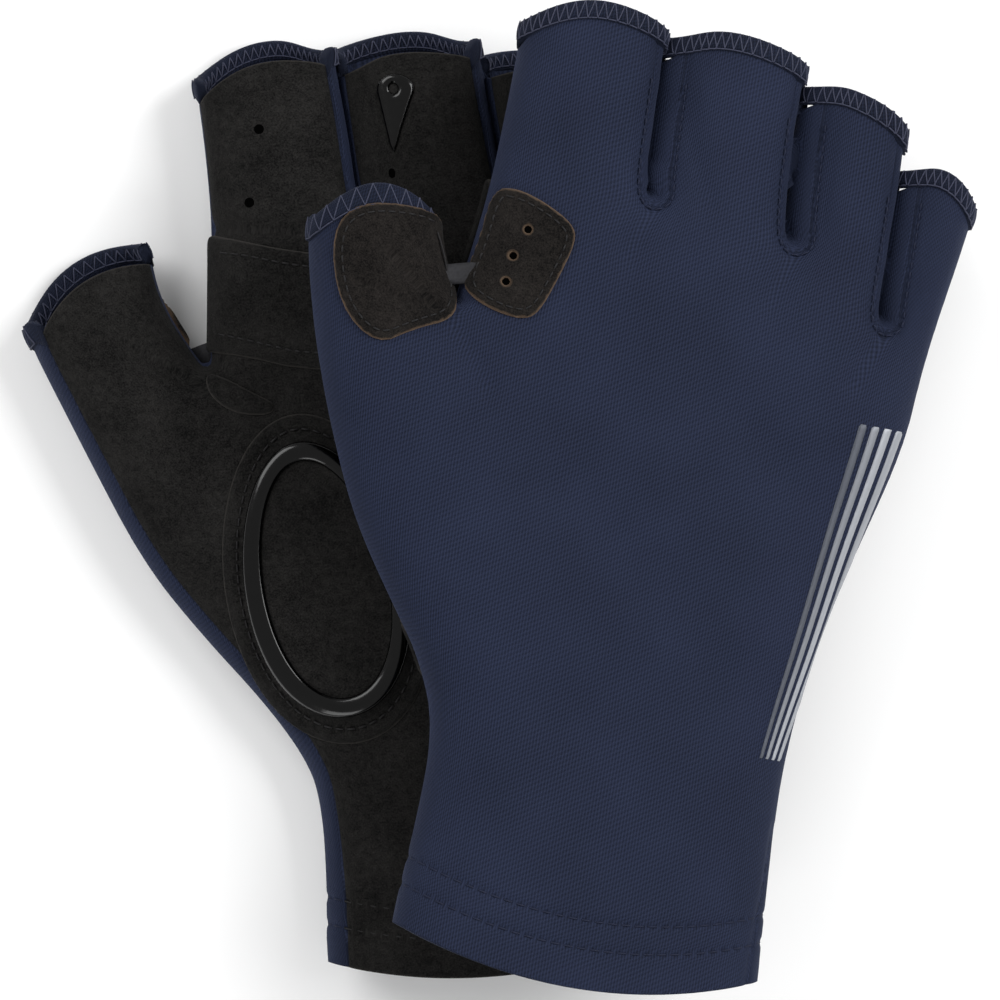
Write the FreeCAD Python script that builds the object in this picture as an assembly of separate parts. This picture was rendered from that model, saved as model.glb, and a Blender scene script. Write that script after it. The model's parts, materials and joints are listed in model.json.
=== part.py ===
import FreeCAD, Part
import math
import os
from FreeCAD import Placement, Rotation, Vector

# A pair of short-finger sailing gloves, lying one over the other as if filled by a hand.
# The left glove lies palm up on the surface. The right glove lies across it, back up.
# Each glove is built in its own frame: the middle of the wrist edge is the origin,
# x runs across the hand with the thumb at -x, y runs from the wrist to the fingers,
# and z is the hand's thickness. All sizes are in millimetres and degrees.

# ---- the hand -------------------------------------------------------------------------
WRIST_WIDTH = 75.0           # across the wrist edge
WAIST_WIDTH = 71.0           # the narrowest place, above the wrist
PALM_WIDTH = 88.0            # across the palm without the thumb
KNUCKLE_WIDTH = 98.0         # across the knuckles
WAIST_Y = 40.0               # height of the narrowest place above the wrist edge
PALM_Y = 95.0
KNUCKLE_Y = 122.0
FINGER_ROOT_Y = 135.0        # level with the lowest crotch
PALM_SHIFT = 1.0             # how far the palm's middle stands towards the little finger
KNUCKLE_SHIFT = 2.5
ROOT_SHIFT = 5.8
ROOT_MARGIN = 1.5            # how far the hand stands outside the outermost stalls
HAND_THICKNESS = 20.0
CUFF_TAPER = 1.6             # how much thinner the wrist edge is than the hand
KNUCKLE_TAPER = 2.4          # how much thinner the knuckles are than the hand
ROOT_TAPER = 3.4             # how much thinner the finger roots are than the hand
HAND_CORNER = 5.5            # bevel along the hand's edges
WRIST_BOW = 7.0              # how far the wrist edge bows out in its middle

# ---- the stalls -----------------------------------------------------------------------
# name, width at its root, width at its rim, thickness, lean towards the thumb, height of the rim
FINGERS = (
    ("index", 27.4, 28.0, 15.0, 2.0, 186.0),
    ("middle", 29.0, 28.6, 15.0, 0.5, 187.0),
    ("ring", 21.4, 22.0, 14.0, -0.5, 178.0),
    ("little", 12.5, 17.0, 13.0, -3.5, 166.0),
)
FINGER_GAP = 0.8             # between two stalls at their roots
FINGER_OVERLAP = 6.0         # how far a stall's walls start below the crotches, inside the hand
FINGER_CORNER = 4.2          # bevel along a stall's edges
CROTCH_Y = (152.0, 148.0, 135.0)    # index to middle, middle to ring, ring to little
OUTER_ROOT_Y = (150.0, 133.0)       # the hand's top on the index side and on the little side
THUMB_LENGTH = 90.0          # from the thumb's root to its rim
THUMB_CORNER = 4.6

# ---- the cloth ------------------------------------------------------------------------
WALL = 1.2                   # thickness of the stretch fabric and of the suede
WEB_DEPTH = 1.5              # cloth between two stalls, along the finger
SEAM_DROP = 3.0              # how far the side seams lie towards the palm
FOURCHETTE_HALF = 3.0        # half the height of the strips between the fingers
FOURCHETTE_START = 3.0       # how far a strip reaches below its crotch
HEM_LENGTH = 3.6             # depth of a stall's rolled hem
HEM_WALL = 2.2               # thickness of a rolled hem
RIM_STEP = 5.0               # how much shorter a stall's palm side is than its back
CUFF_DEPTH = 15.0            # depth of the facing turned in at the wrist
CUFF_WALL = 1.0

# ---- stitching, patches, pad and prints -----------------------------------------------
STITCH_ROWS = (8.0, 13.6)    # distance of each row from the wrist edge
STITCH_WIDTH = 0.8
STITCH_LIFT = 0.35
PATCH_THICKNESS = 0.8
BAND_WIDTH = 21.0            # the band across the root of the index stall
BAND_TOP_Y = 146.0
BAND_SLOPE = 6.5             # how much lower the band is at the finger's inner side
BAND_PAST = 10.0             # how far the band runs past the stall's outer side
BAND_SHORT = 1.0             # how far it stops before the stall's inner side
PATCH_CORNER = 3.0           # radius of the patches' corners
THUMB_PATCH_OUTER = ((5.0, 5.0), (27.0, 9.0))    # corners: below the rim, in from the outer side
THUMB_PATCH_INNER = ((20.0, 6.0), (4.0, 6.0))    # corners: below the rim, past the inner side
INDEX_PATCH = ((4.5, 24.0), (-1.0, 3.0), (14.5, 0.6), (20.5, 19.0))
                             # corners: in from the hand's edge, above the knuckles
PAD_CENTRE = (-28.0, 77.0)
PAD_TURN = 5.0               # the pad's long axis leans towards the thumb
PAD_COVER = (20.5, 34.0)     # half width and half length of the cover
PAD_FOAM = (17.0, 30.5)
GRIP_RING_OUTER = (15.6, 27.6)
GRIP_RING_BAND = 3.1         # width of the silicone bead
FOAM_THICKNESS = 2.2
COVER_THICKNESS = 0.8
GRIP_THICKNESS = 0.7
DROP_RADIUS = 4.0            # the teardrop grips on the stalls
DROP_LENGTH = 16.0
DROP_HOLE_RADIUS = 1.1
DROP_BELOW_RIM = 15.5        # from the rim of the back to the middle of the drop's round end
STRIPE_COUNT = 4
STRIPE_PITCH = 2.7           # between stripes at their upper end
STRIPE_LOW_PITCH = 1.5
STRIPE_WIDTH = 1.5
STRIPE_LOW_WIDTH = 0.7
STRIPE_TOP_Y = 113.0
STRIPE_LOW_Y = 46.0
STRIPE_INSET = 2.2           # from the hand's edge to the first stripe
STRIPE_DEPTH = 0.3           # the print lies in the cloth, flush with its face
VENT_COUNT = 3
VENT_RADIUS = 0.8
VENT_START = (11.0, 6.4)     # the first vent: in from the hand's edge, above the knuckles
VENT_STEP = (1.8, 5.2)       # from one vent to the next
STRIP_WIDTH = 4.2            # the strip across the thumb web
STRIP_THICKNESS = 1.2
STRIP_ABOVE_WEB = 6.0
STRIP_OUT = 16.0             # how far the strip runs outside the knuckles' edge
STRIP_IN = 5.0               # how far it runs inside that edge

# ---- how the pair lies ----------------------------------------------------------------
LEFT_WRIST = (2.4, -88.7)    # the middle of each wrist edge, on the surface
RIGHT_WRIST = (15.1, -89.9)
LEFT_TURN = 7.3              # the left glove leans towards its thumb
RIGHT_TURN = -9.6            # the right glove leans away from its thumb
RIGHT_TILT = 9.0             # its little-finger side lies lower
PAIR_GAP = 0.8               # room between the two gloves where they come nearest

REACH = 400.0                # longer than any glove, for cutting tools
OFFSET_OF_BEVEL = 2.0 - math.sqrt(2.0)


class Tube:
    """A straight tube of bevelled rectangular sections, which leans in the plane of the hand.

    A station is (distance along the axis, shift across it, width, thickness).
    Every section lies square to the axis, so every wall between two sections is flat.
    """

    def __init__(self, root, lean, corner, stations):
        turn = math.radians(lean)
        self.root = Vector(root[0], root[1], 0.0)
        self.axis = Vector(-math.sin(turn), math.cos(turn), 0.0)
        self.across = Vector(math.cos(turn), math.sin(turn), 0.0)
        self.corner = corner
        self.stations = stations

    def point(self, along, shift, height=0.0):
        """A point given along the tube, across it and in its thickness."""
        return self.root + self.axis * along + self.across * shift + Vector(0.0, 0.0, height)

    def ring(self, station, grow):
        """The closed outline of one section, moved outwards by grow."""
        along, shift, width, thickness = station
        a = width / 2.0 + grow
        b = thickness / 2.0 + grow
        c = self.corner + OFFSET_OF_BEVEL * grow
        outline = ((a, c - b), (a, b - c), (a - c, b), (c - a, b),
                   (-a, b - c), (-a, c - b), (c - a, -b), (a - c, -b))
        return [self.point(along, shift + u, w) for u, w in outline]

    def solid(self, grow=0.0, before=0.0, after=0.0):
        """The tube as a solid, with its two ends moved out by before and after."""
        stations = [list(station) for station in self.stations]
        if before:
            stations.insert(0, [stations[0][0] - before] + stations[0][1:])
        if after:
            stations.append([stations[-1][0] + after] + stations[-1][1:])
        rings = [self.ring(station, grow) for station in stations]
        faces = [polygon_face(rings[0]), polygon_face(rings[-1])]
        for low, high in zip(rings, rings[1:]):
            for k in range(len(low)):
                n = (k + 1) % len(low)
                faces.append(polygon_face([low[k], low[n], high[n], high[k]]))
        return closed_solid(faces)

    def half_space(self, along, above=True):
        """A large block that starts at a distance along the axis and goes on or back from it."""
        far = REACH if above else -REACH
        corners = [self.point(along, -REACH / 8), self.point(along, REACH / 8),
                   self.point(along + far, REACH / 8), self.point(along + far, -REACH / 8)]
        return prism(corners, -REACH, REACH)


def polygon_face(points):
    """A flat face through the points."""
    return Part.Face(Part.makePolygon(points + [points[0]]))


def closed_solid(faces):
    """A solid inside a closed set of faces, turned the right way out."""
    solid = Part.Solid(Part.makeShell(faces))
    if solid.Volume < 0.0:
        solid.reverse()
    return solid


def prism(points, low, high):
    """An upright block over a plan outline, from one height to another."""
    flat = [Vector(point[0], point[1], low) for point in points]
    return polygon_face(flat).extrude(Vector(0.0, 0.0, high - low))


def fused(shapes):
    """The union of shapes."""
    return shapes[0].multiFuse(shapes[1:]).removeSplitter()


def kept(shape, smallest=0.5):
    """The shape's solids without specks under the smallest volume."""
    solids = [solid for solid in shape.Solids if solid.Volume > smallest]
    return solids[0] if len(solids) == 1 else Part.makeCompound(solids)


def ellipse_block(centre, turn, half_width, half_length, low, high):
    """An upright elliptical block, its long axis leaning towards the thumb by turn."""
    curve = Part.Ellipse(Vector(0.0, 0.0, 0.0), half_length, half_width)
    face = Part.Face(Part.Wire([curve.toShape()]))
    place = Placement(Vector(centre[0], centre[1], low), Rotation(Vector(0, 0, 1), 90.0 + turn))
    face.Placement = place
    return face.extrude(Vector(0.0, 0.0, high - low))


def rounded_block(points, radius, low, high):
    """An upright block over a plan outline, with its corners rounded."""
    block = prism(points, low, high)
    upright = [edge for edge in block.Edges if abs(edge.tangentAt(edge.FirstParameter).z) > 0.99]
    return block.makeFillet(radius, upright)


def stalls_width():
    """The four stalls' roots side by side, with their gaps."""
    widths = [finger[1] for finger in FINGERS]
    return sum(widths) + FINGER_GAP * (len(widths) - 1)


def hand_tube():
    """The hand from the wrist edge to above the finger roots."""
    root_width = stalls_width() + 2.0 * ROOT_MARGIN
    stations = (
        (-WRIST_BOW - 1.0, 0.0, WRIST_WIDTH, HAND_THICKNESS - CUFF_TAPER),
        (WAIST_Y, 0.0, WAIST_WIDTH, HAND_THICKNESS),
        (PALM_Y, PALM_SHIFT, PALM_WIDTH, HAND_THICKNESS),
        (KNUCKLE_Y, KNUCKLE_SHIFT, KNUCKLE_WIDTH, HAND_THICKNESS - KNUCKLE_TAPER),
        (FINGER_ROOT_Y, ROOT_SHIFT, root_width, HAND_THICKNESS - ROOT_TAPER),
    )
    return Tube((0.0, 0.0), 0.0, HAND_CORNER, stations)


def finger_tubes():
    """The four finger stalls side by side, each from inside the hand to its rim."""
    edge = ROOT_SHIFT - stalls_width() / 2.0
    levels = (OUTER_ROOT_Y[0],) + CROTCH_Y + (OUTER_ROOT_Y[1],)
    tubes = {}
    for finger, left_level, right_level in zip(FINGERS, levels, levels[1:]):
        name, root_width, rim_width, thickness, lean, rim_y = finger
        middle = edge + root_width / 2.0
        start = min(left_level, right_level) - FINGER_OVERLAP
        rise = (rim_y - start) / math.cos(math.radians(lean))
        stations = ((0.0, 0.0, root_width, thickness), (rise, 0.0, rim_width, thickness))
        tubes[name] = Tube((middle, start), lean, FINGER_CORNER, stations)
        edge += root_width + FINGER_GAP
    return tubes


def hand_edge(side, y):
    """Where the hand's edge stands at a height: side is -1 at the thumb, 1 at the little finger."""
    stations = hand_tube().stations
    for low, high in zip(stations, stations[1:]):
        if y <= high[0]:
            share = (y - low[0]) / (high[0] - low[0])
            middle = low[1] + (high[1] - low[1]) * share
            width = low[2] + (high[2] - low[2]) * share
            return middle + side * width / 2.0
    return stations[-1][1] + side * stations[-1][2] / 2.0


def crotch_points(fingers):
    """The plan points that the hand's top runs through, from the index side to the little side."""
    names = [finger[0] for finger in FINGERS]
    points = [(hand_edge(-1, FINGER_ROOT_Y) - 10.0, OUTER_ROOT_Y[0])]
    for name, y in zip(names, CROTCH_Y):
        tube = fingers[name]
        points.append((tube.root.x + (tube.stations[0][2] + FINGER_GAP) / 2.0, y))
    points.append((hand_edge(1, FINGER_ROOT_Y) + 10.0, OUTER_ROOT_Y[1]))
    return points


def above_crotches(fingers, drop):
    """The block above the line of the crotches, lowered by drop."""
    line = [(x, y - drop) for x, y in crotch_points(fingers)]
    return prism(line + [(REACH, REACH), (-REACH, REACH)], -REACH, REACH)


def wrist_block(offset, below=True):
    """The block below a bowed line across the wrist, which lies above the wrist edge by offset."""
    half = WRIST_WIDTH / 2.0
    bottom = offset - WRIST_BOW
    start = Vector(-half, offset, -REACH)
    end = Vector(half, offset, -REACH)
    bow = Part.Arc(start, Vector(0.0, bottom, -REACH), end).toShape()
    far = -REACH if below else REACH
    left = Part.makeLine(Vector(-REACH, offset, -REACH), start)
    right = Part.makeLine(end, Vector(REACH, offset, -REACH))
    down = Part.makeLine(Vector(REACH, offset, -REACH), Vector(REACH, far, -REACH))
    back = Part.makeLine(Vector(REACH, far, -REACH), Vector(-REACH, far, -REACH))
    close = Part.makeLine(Vector(-REACH, far, -REACH), Vector(-REACH, offset, -REACH))
    face = Part.Face(Part.Wire([left, bow, right, down, back, close]))
    return face.extrude(Vector(0.0, 0.0, 2.0 * REACH))


class Glove:
    """One glove in its own frame. face is 1 when its back is up, and -1 when its palm is up."""

    def __init__(self, face, thumb):
        self.face = face
        self.hand = hand_tube()
        self.fingers = finger_tubes()
        self.thumb = thumb
        self.stalls = dict(self.fingers, thumb=thumb)
        self.skin = self.shell(0.0)
        self.hollow = self.shell(-WALL)
        self.wall = self.skin.cut(self.hollow)

    def shell(self, grow):
        """The whole glove's outer form, or its hollow when grow is below zero."""
        ends = REACH / 8 if grow < 0.0 else 0.0
        drop = WEB_DEPTH if grow < 0.0 else 0.0
        hand = self.hand.solid(grow, before=ends, after=REACH / 8)
        hand = hand.cut(above_crotches(self.fingers, drop))
        if grow >= 0.0:
            hand = hand.cut(wrist_block(0.0))
        stalls = [tube.solid(grow, after=ends) for tube in self.stalls.values()]
        return fused([hand] + stalls)

    def palm_side(self, start=0.0):
        """The half of space on the palm's side of a height."""
        low, high = sorted((-self.face * start, -self.face * REACH))
        return prism([(-REACH, -REACH), (REACH, -REACH), (REACH, REACH), (-REACH, REACH)], low, high)

    def layer(self, tubes, plan, thickness, lift=0.0):
        """A layer of cloth or print on the tubes' skin inside a plan block."""
        upper = fused([tube.solid(lift + thickness) for tube in tubes])
        sheet = upper.common(plan)
        if lift:
            sheet = sheet.cut(fused([tube.solid(lift) for tube in tubes]))
        return sheet.cut(self.skin)

    def plan_heights(self, back):
        """The two heights of a plan block on the back or on the palm."""
        sign = self.face if back else -self.face
        return sorted((0.0, sign * REACH / 4))

    def panels(self):
        """The back, the palm and the three strips between the fingers."""
        palm_half = self.palm_side(SEAM_DROP)
        palm = self.wall.common(palm_half)
        back = self.wall.cut(palm_half)
        for tube in self.stalls.values():
            rim = tube.stations[-1][0]
            reach = tube.solid(1.0, after=1.0)
            palm = palm.cut(tube.half_space(rim - RIM_STEP).common(reach))
            back = back.cut(tube.half_space(rim - HEM_LENGTH).common(reach))
        pieces = {"palm_panel": palm}
        low, high = sorted((-self.face * SEAM_DROP, self.face * FOURCHETTE_HALF))
        names = [finger[0] for finger in FINGERS]
        for first, second, crotch in zip(names, names[1:], CROTCH_Y):
            left, right = self.fingers[first], self.fingers[second]
            start = crotch - FOURCHETTE_START
            far_left = left.point(REACH / 8, 0.0)
            far_right = right.point(REACH / 8, 0.0)
            corners = [(left.root.x, start), (right.root.x, start), far_right, far_left]
            block = prism(corners, low, high)
            pieces["fourchette_%s_%s" % (first, second)] = back.common(block)
            back = back.cut(block)
        pieces["back_panel"] = back
        return pieces

    def hems(self):
        """The rolled edges of the five openings, on the back and on the strips only."""
        pieces = {}
        for name, tube in self.stalls.items():
            rim = tube.stations[-1][0]
            ring = tube.solid().cut(tube.solid(-HEM_WALL, after=1.0))
            ring = ring.common(tube.half_space(rim - HEM_LENGTH))
            pieces[name + "_hem"] = ring.cut(self.palm_side(SEAM_DROP))
        return pieces

    def cuff(self):
        """The facing turned in at the wrist, and the two rows that hold it."""
        outside = self.hand.solid(-WALL, before=1.0)
        inside = self.hand.solid(-WALL - CUFF_WALL, before=2.0)
        facing = outside.cut(inside).cut(wrist_block(0.0))
        facing = facing.cut(wrist_block(CUFF_DEPTH, below=False))
        grown = self.hand.solid(STITCH_LIFT).cut(self.skin)
        rows = []
        for height in STITCH_ROWS:
            row = grown.cut(wrist_block(height))
            rows.append(row.cut(wrist_block(height + STITCH_WIDTH, below=False)))
        return {"cuff_hem": facing, "cuff_stitching": Part.makeCompound(rows)}

    def index_band(self):
        """The suede band across the palm side of the index root."""
        index = self.fingers["index"]
        half = index.stations[0][2] / 2.0
        start = index.root.x - half - BAND_PAST
        end = index.root.x + half - BAND_SHORT
        low, high = self.plan_heights(back=False)
        outline = [(start, BAND_TOP_Y), (start, BAND_TOP_Y - BAND_WIDTH),
                   (end, BAND_TOP_Y - BAND_WIDTH - BAND_SLOPE), (end, BAND_TOP_Y - BAND_SLOPE)]
        plan = prism(outline, low, high).cut(self.thumb.solid(1.0))
        return self.layer([self.hand], plan, PATCH_THICKNESS)

    def patches(self):
        """The two suede patches on the back and the strip that joins them across the web."""
        low, high = self.plan_heights(back=True)
        thumb = self.thumb
        rim = thumb.stations[-1][0]
        half = thumb.stations[-1][2] / 2.0
        outline = [thumb.point(rim - down, inward - half) for down, inward in THUMB_PATCH_OUTER]
        outline += [thumb.point(rim - down, half + past) for down, past in THUMB_PATCH_INNER]
        block = rounded_block(outline, PATCH_CORNER, low, high)
        thumb_patch = self.layer([thumb], block, PATCH_THICKNESS)
        thumb_patch = thumb_patch.cut(self.hand.solid(PATCH_THICKNESS * 2.0))
        edge = hand_edge(-1, KNUCKLE_Y)
        outline = [(edge + inward, KNUCKLE_Y + up) for inward, up in INDEX_PATCH]
        block = rounded_block(outline, PATCH_CORNER, low, high)
        index_patch = self.layer([self.hand], block, PATCH_THICKNESS)
        for step in range(VENT_COUNT):
            place = Vector(edge + VENT_START[0] + VENT_STEP[0] * step,
                           KNUCKLE_Y + VENT_START[1] + VENT_STEP[1] * step, low)
            index_patch = index_patch.cut(Part.makeCylinder(VENT_RADIUS, high - low, place))
        index_patch = index_patch.cut(thumb.solid(PATCH_THICKNESS * 2.0))
        y = KNUCKLE_Y + STRIP_ABOVE_WEB
        outline = [(edge - STRIP_OUT, y), (edge + STRIP_IN, y), (edge + STRIP_IN, y + STRIP_WIDTH),
                   (edge - STRIP_OUT, y + STRIP_WIDTH)]
        heights = sorted((0.0, self.face * STRIP_THICKNESS))
        strip = prism(outline, heights[0], heights[1]).cut(self.skin)
        strip = strip.cut(thumb_patch).cut(index_patch).cut(self.hollow)
        return {"thumb_patch": thumb_patch, "index_patch": index_patch, "web_strip": strip}

    def pad(self):
        """The palm pad: foam, its cover, and the silicone bead printed on it."""
        low, high = self.plan_heights(back=False)
        tubes = [self.hand, self.thumb]
        block = ellipse_block(PAD_CENTRE, PAD_TURN, PAD_FOAM[0], PAD_FOAM[1], low, high)
        foam = self.layer(tubes, block, FOAM_THICKNESS)
        block = ellipse_block(PAD_CENTRE, PAD_TURN, PAD_COVER[0], PAD_COVER[1], low, high)
        top = FOAM_THICKNESS + COVER_THICKNESS
        cover = self.layer(tubes, block, top).cut(foam)
        wide, long = GRIP_RING_OUTER
        block = ellipse_block(PAD_CENTRE, PAD_TURN, wide, long, low, high)
        hole = ellipse_block(PAD_CENTRE, PAD_TURN, wide - GRIP_RING_BAND, long - GRIP_RING_BAND, low, high)
        bead = self.layer(tubes, block.cut(hole), GRIP_THICKNESS, lift=top)
        return {"palm_pad_foam": foam, "palm_pad_cover": cover, "palm_grip_ring": bead}

    def finger_grips(self):
        """Silicone teardrops on the palm side of the middle and ring stalls."""
        low, high = self.plan_heights(back=False)
        drops = []
        for name in ("middle", "ring"):
            tube = self.fingers[name]
            centre = tube.stations[-1][0] - DROP_BELOW_RIM
            top = tube.point(centre + DROP_RADIUS, 0.0, low)
            left = tube.point(centre, -DROP_RADIUS, low)
            right = tube.point(centre, DROP_RADIUS, low)
            tip = tube.point(centre + DROP_RADIUS - DROP_LENGTH, 0.0, low)
            edges = [Part.Arc(left, top, right).toShape(), Part.makeLine(right, tip),
                     Part.makeLine(tip, left)]
            block = Part.Face(Part.Wire(edges)).extrude(Vector(0.0, 0.0, high - low))
            middle = tube.point(centre, 0.0, low)
            block = block.cut(Part.makeCylinder(DROP_HOLE_RADIUS, high - low, middle))
            drops.append(self.layer([tube], block, GRIP_THICKNESS))
        return Part.makeCompound(drops)

    def side_stripes(self):
        """Plain tapered stripes along the little-finger side of the back."""
        low, high = self.plan_heights(back=True)
        top_edge = hand_edge(1, STRIPE_TOP_Y) - STRIPE_INSET
        low_edge = hand_edge(1, STRIPE_LOW_Y) - STRIPE_INSET
        stripes = []
        for k in range(STRIPE_COUNT):
            top = top_edge - STRIPE_PITCH * k
            foot = low_edge - STRIPE_LOW_PITCH * k
            outline = [(top - STRIPE_WIDTH, STRIPE_TOP_Y), (foot - STRIPE_LOW_WIDTH, STRIPE_LOW_Y),
                       (foot, STRIPE_LOW_Y), (top, STRIPE_TOP_Y)]
            sunk = self.hand.solid(-STRIPE_DEPTH, before=1.0, after=1.0)
            stripes.append(self.hand.solid().common(prism(outline, low, high)).cut(sunk))
        return Part.makeCompound(stripes)

    def pieces(self):
        """Every piece of the glove by its node's name."""
        found = self.panels()
        found.update(self.hems())
        found.update(self.cuff())
        found["index_band"] = self.index_band()
        found.update(self.patches())
        found.update(self.pad())
        found["finger_grips"] = self.finger_grips()
        found["side_stripes"] = self.side_stripes()
        found["back_panel"] = found["back_panel"].cut(found["side_stripes"])
        return found


def thumb_tube(lean, tip_shift, stations):
    """A thumb stall whose rim stands tip_shift out from the knuckles' edge."""
    turn = math.radians(lean)
    rim_x = hand_edge(-1, KNUCKLE_Y) - tip_shift[0]
    rim_y = KNUCKLE_Y + tip_shift[1]
    root = (rim_x + THUMB_LENGTH * math.sin(turn), rim_y - THUMB_LENGTH * math.cos(turn))
    return Tube(root, lean, THUMB_CORNER, stations)


# The thumb of the right glove lies close to its hand. The left one stands further out.
RIGHT_THUMB = thumb_tube(16.0, (17.7, 15.0), (
    (-9.0, 25.4, 50.0, HAND_THICKNESS - 2.4),
    (34.0, 4.8, 32.0, HAND_THICKNESS - 1.0),
    (66.0, -0.1, 28.6, HAND_THICKNESS - 1.6),
    (THUMB_LENGTH, 0.0, 25.0, HAND_THICKNESS - 4.0),
))
LEFT_THUMB = thumb_tube(27.0, (25.4, 18.1), (
    (-15.2, 11.1, 50.0, HAND_THICKNESS - 2.4),
    (27.5, -2.6, 34.0, HAND_THICKNESS - 1.0),
    (59.4, -3.2, 29.0, HAND_THICKNESS - 1.6),
    (THUMB_LENGTH, 0.0, 28.6, HAND_THICKNESS - 4.0),
))


def right_lift():
    """Height of the right wrist's middle that lets its palm lie just over the left palm."""
    slope = math.tan(math.radians(RIGHT_TILT))
    turn = math.radians(LEFT_TURN)
    flat_edges = []
    for y, shift, width, thickness in hand_tube().stations:
        edge = shift + width / 2.0 - HAND_CORNER
        flat_edges.append(LEFT_WRIST[0] + edge * math.cos(turn) - y * math.sin(turn))
    edge_drop = (max(flat_edges) - RIGHT_WRIST[0]) * slope
    turn = math.radians(RIGHT_TURN)
    pad_x = (PAD_CENTRE[0] + PAD_COVER[0]) * math.cos(turn) - PAD_CENTRE[1] * math.sin(turn)
    pad_drop = FOAM_THICKNESS + COVER_THICKNESS + GRIP_THICKNESS + pad_x * slope
    half = HAND_THICKNESS / 2.0 / math.cos(math.radians(RIGHT_TILT))
    return HAND_THICKNESS + PAIR_GAP + half + max(edge_drop, pad_drop)


def placed(pieces, place):
    """The pieces moved into the pair's frame, without specks."""
    moved = {}
    for name, shape in pieces.items():
        clean = kept(shape)
        clean.Placement = place.multiply(clean.Placement)
        moved[name] = clean
    return moved


def main():
    upright = Vector(0, 0, 1)
    left_place = Placement(Vector(LEFT_WRIST[0], LEFT_WRIST[1], HAND_THICKNESS / 2.0),
                           Rotation(upright, LEFT_TURN))
    turn = Rotation(upright, RIGHT_TURN)
    tilt = Rotation(Vector(0, 1, 0), RIGHT_TILT)
    right_place = Placement(Vector(RIGHT_WRIST[0], RIGHT_WRIST[1], right_lift()), tilt.multiply(turn))
    pair = {}
    for prefix, glove, place in (("left_", Glove(-1, LEFT_THUMB), left_place),
                                 ("right_", Glove(1, RIGHT_THUMB), right_place)):
        for name, shape in placed(glove.pieces(), place).items():
            pair[prefix + name] = shape

    # The origin is under the middle of the pair, on the surface that it lies on.
    box = FreeCAD.BoundBox()
    for shape in pair.values():
        box.add(shape.BoundBox)
    shift = Placement(Vector(-box.Center.x, -box.Center.y, -box.ZMin), Rotation())
    os.makedirs("parts", exist_ok=True)
    for name, shape in pair.items():
        shape.Placement = shift.multiply(shape.Placement)
        shape.exportStep("parts/%s.step" % name)
        print(name, len(shape.Solids), round(shape.Volume, 1), shape.isValid())
    print("box", box.XLength, box.YLength, box.ZLength, "shift", shift.Base)


main()
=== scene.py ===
"""A pair of short-finger sailing gloves: the left lies palm up, the right lies over it, back up.

Each glove is made in its own frame, in millimetres: the middle of the wrist edge is the
origin, x runs across the hand with the thumb at -x, y runs to the fingers, and z stands
out of the upper face. A wearer's frame then puts the finished mesh in place, in metres.
"""

import json
import logging
import math
from dataclasses import dataclass, field
from enum import Enum
from typing import Callable, Iterable, Sequence

import bpy
import numpy as np
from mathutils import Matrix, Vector


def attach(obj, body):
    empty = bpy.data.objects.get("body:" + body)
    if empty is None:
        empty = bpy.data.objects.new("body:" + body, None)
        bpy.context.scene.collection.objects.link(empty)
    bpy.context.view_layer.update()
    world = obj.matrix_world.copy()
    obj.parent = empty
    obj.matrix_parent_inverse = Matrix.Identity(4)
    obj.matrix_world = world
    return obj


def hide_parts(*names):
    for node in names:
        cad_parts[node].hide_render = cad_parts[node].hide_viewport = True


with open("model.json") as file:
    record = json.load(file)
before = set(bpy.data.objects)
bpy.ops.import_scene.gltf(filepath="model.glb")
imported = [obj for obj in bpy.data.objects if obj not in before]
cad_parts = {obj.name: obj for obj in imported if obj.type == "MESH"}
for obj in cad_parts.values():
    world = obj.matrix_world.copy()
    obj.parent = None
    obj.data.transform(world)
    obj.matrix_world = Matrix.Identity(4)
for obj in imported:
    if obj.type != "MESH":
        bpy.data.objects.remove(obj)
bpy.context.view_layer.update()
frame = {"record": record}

LOG = logging.getLogger("gloves")
MM = 0.001                   # one millimetre in metres

Plan = Sequence[tuple[float, float]]


# ---- the plan of a hand ---------------------------------------------------------------

class Side(Enum):
    """Which hand a glove is for."""

    LEFT = "left"
    RIGHT = "right"


@dataclass(frozen=True)
class Rim:
    """An open edge of the glove: a bowed line over the plan, from the thumb side across."""

    name: str
    left: tuple[float, float]
    right: tuple[float, float]
    bow: float
    pitch: float = 1.9           # between two stitches of the overlocked edge
    depth: float = 3.4           # of the rolled hem

    def frame(self) -> tuple[np.ndarray, np.ndarray, np.ndarray]:
        """The line's start, its whole run, and the unit direction out of the opening."""
        start = np.array(self.left)
        run = np.array(self.right) - start
        out = np.array((-run[1], run[0])) / np.hypot(*run)
        return start, run, out

    def curve(self, share: np.ndarray, beyond: float | np.ndarray) -> np.ndarray:
        """Points of the line moved out of the opening.

        Args:
            share: How far along the line, from 0 to 1.
            beyond: Millimetres past the line. Below zero is inside the glove.

        Returns:
            One row of x and y for each share.
        """
        start, run, out = self.frame()
        rise = self.bow * (1.0 - (2.0 * share - 1.0) ** 2) + beyond
        return start + share[:, None] * run + rise[:, None] * out

    def beyond(self, x: np.ndarray, y: np.ndarray) -> np.ndarray:
        """How far each place lies past the line, in millimetres."""
        start, run, out = self.frame()
        length = np.hypot(*run)
        dx, dy = x - start[0], y - start[1]
        share = np.clip((dx * run[0] + dy * run[1]) / length ** 2, -0.2, 1.2)
        return dx * out[0] + dy * out[1] - self.bow * (1.0 - (2.0 * share - 1.0) ** 2)


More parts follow.
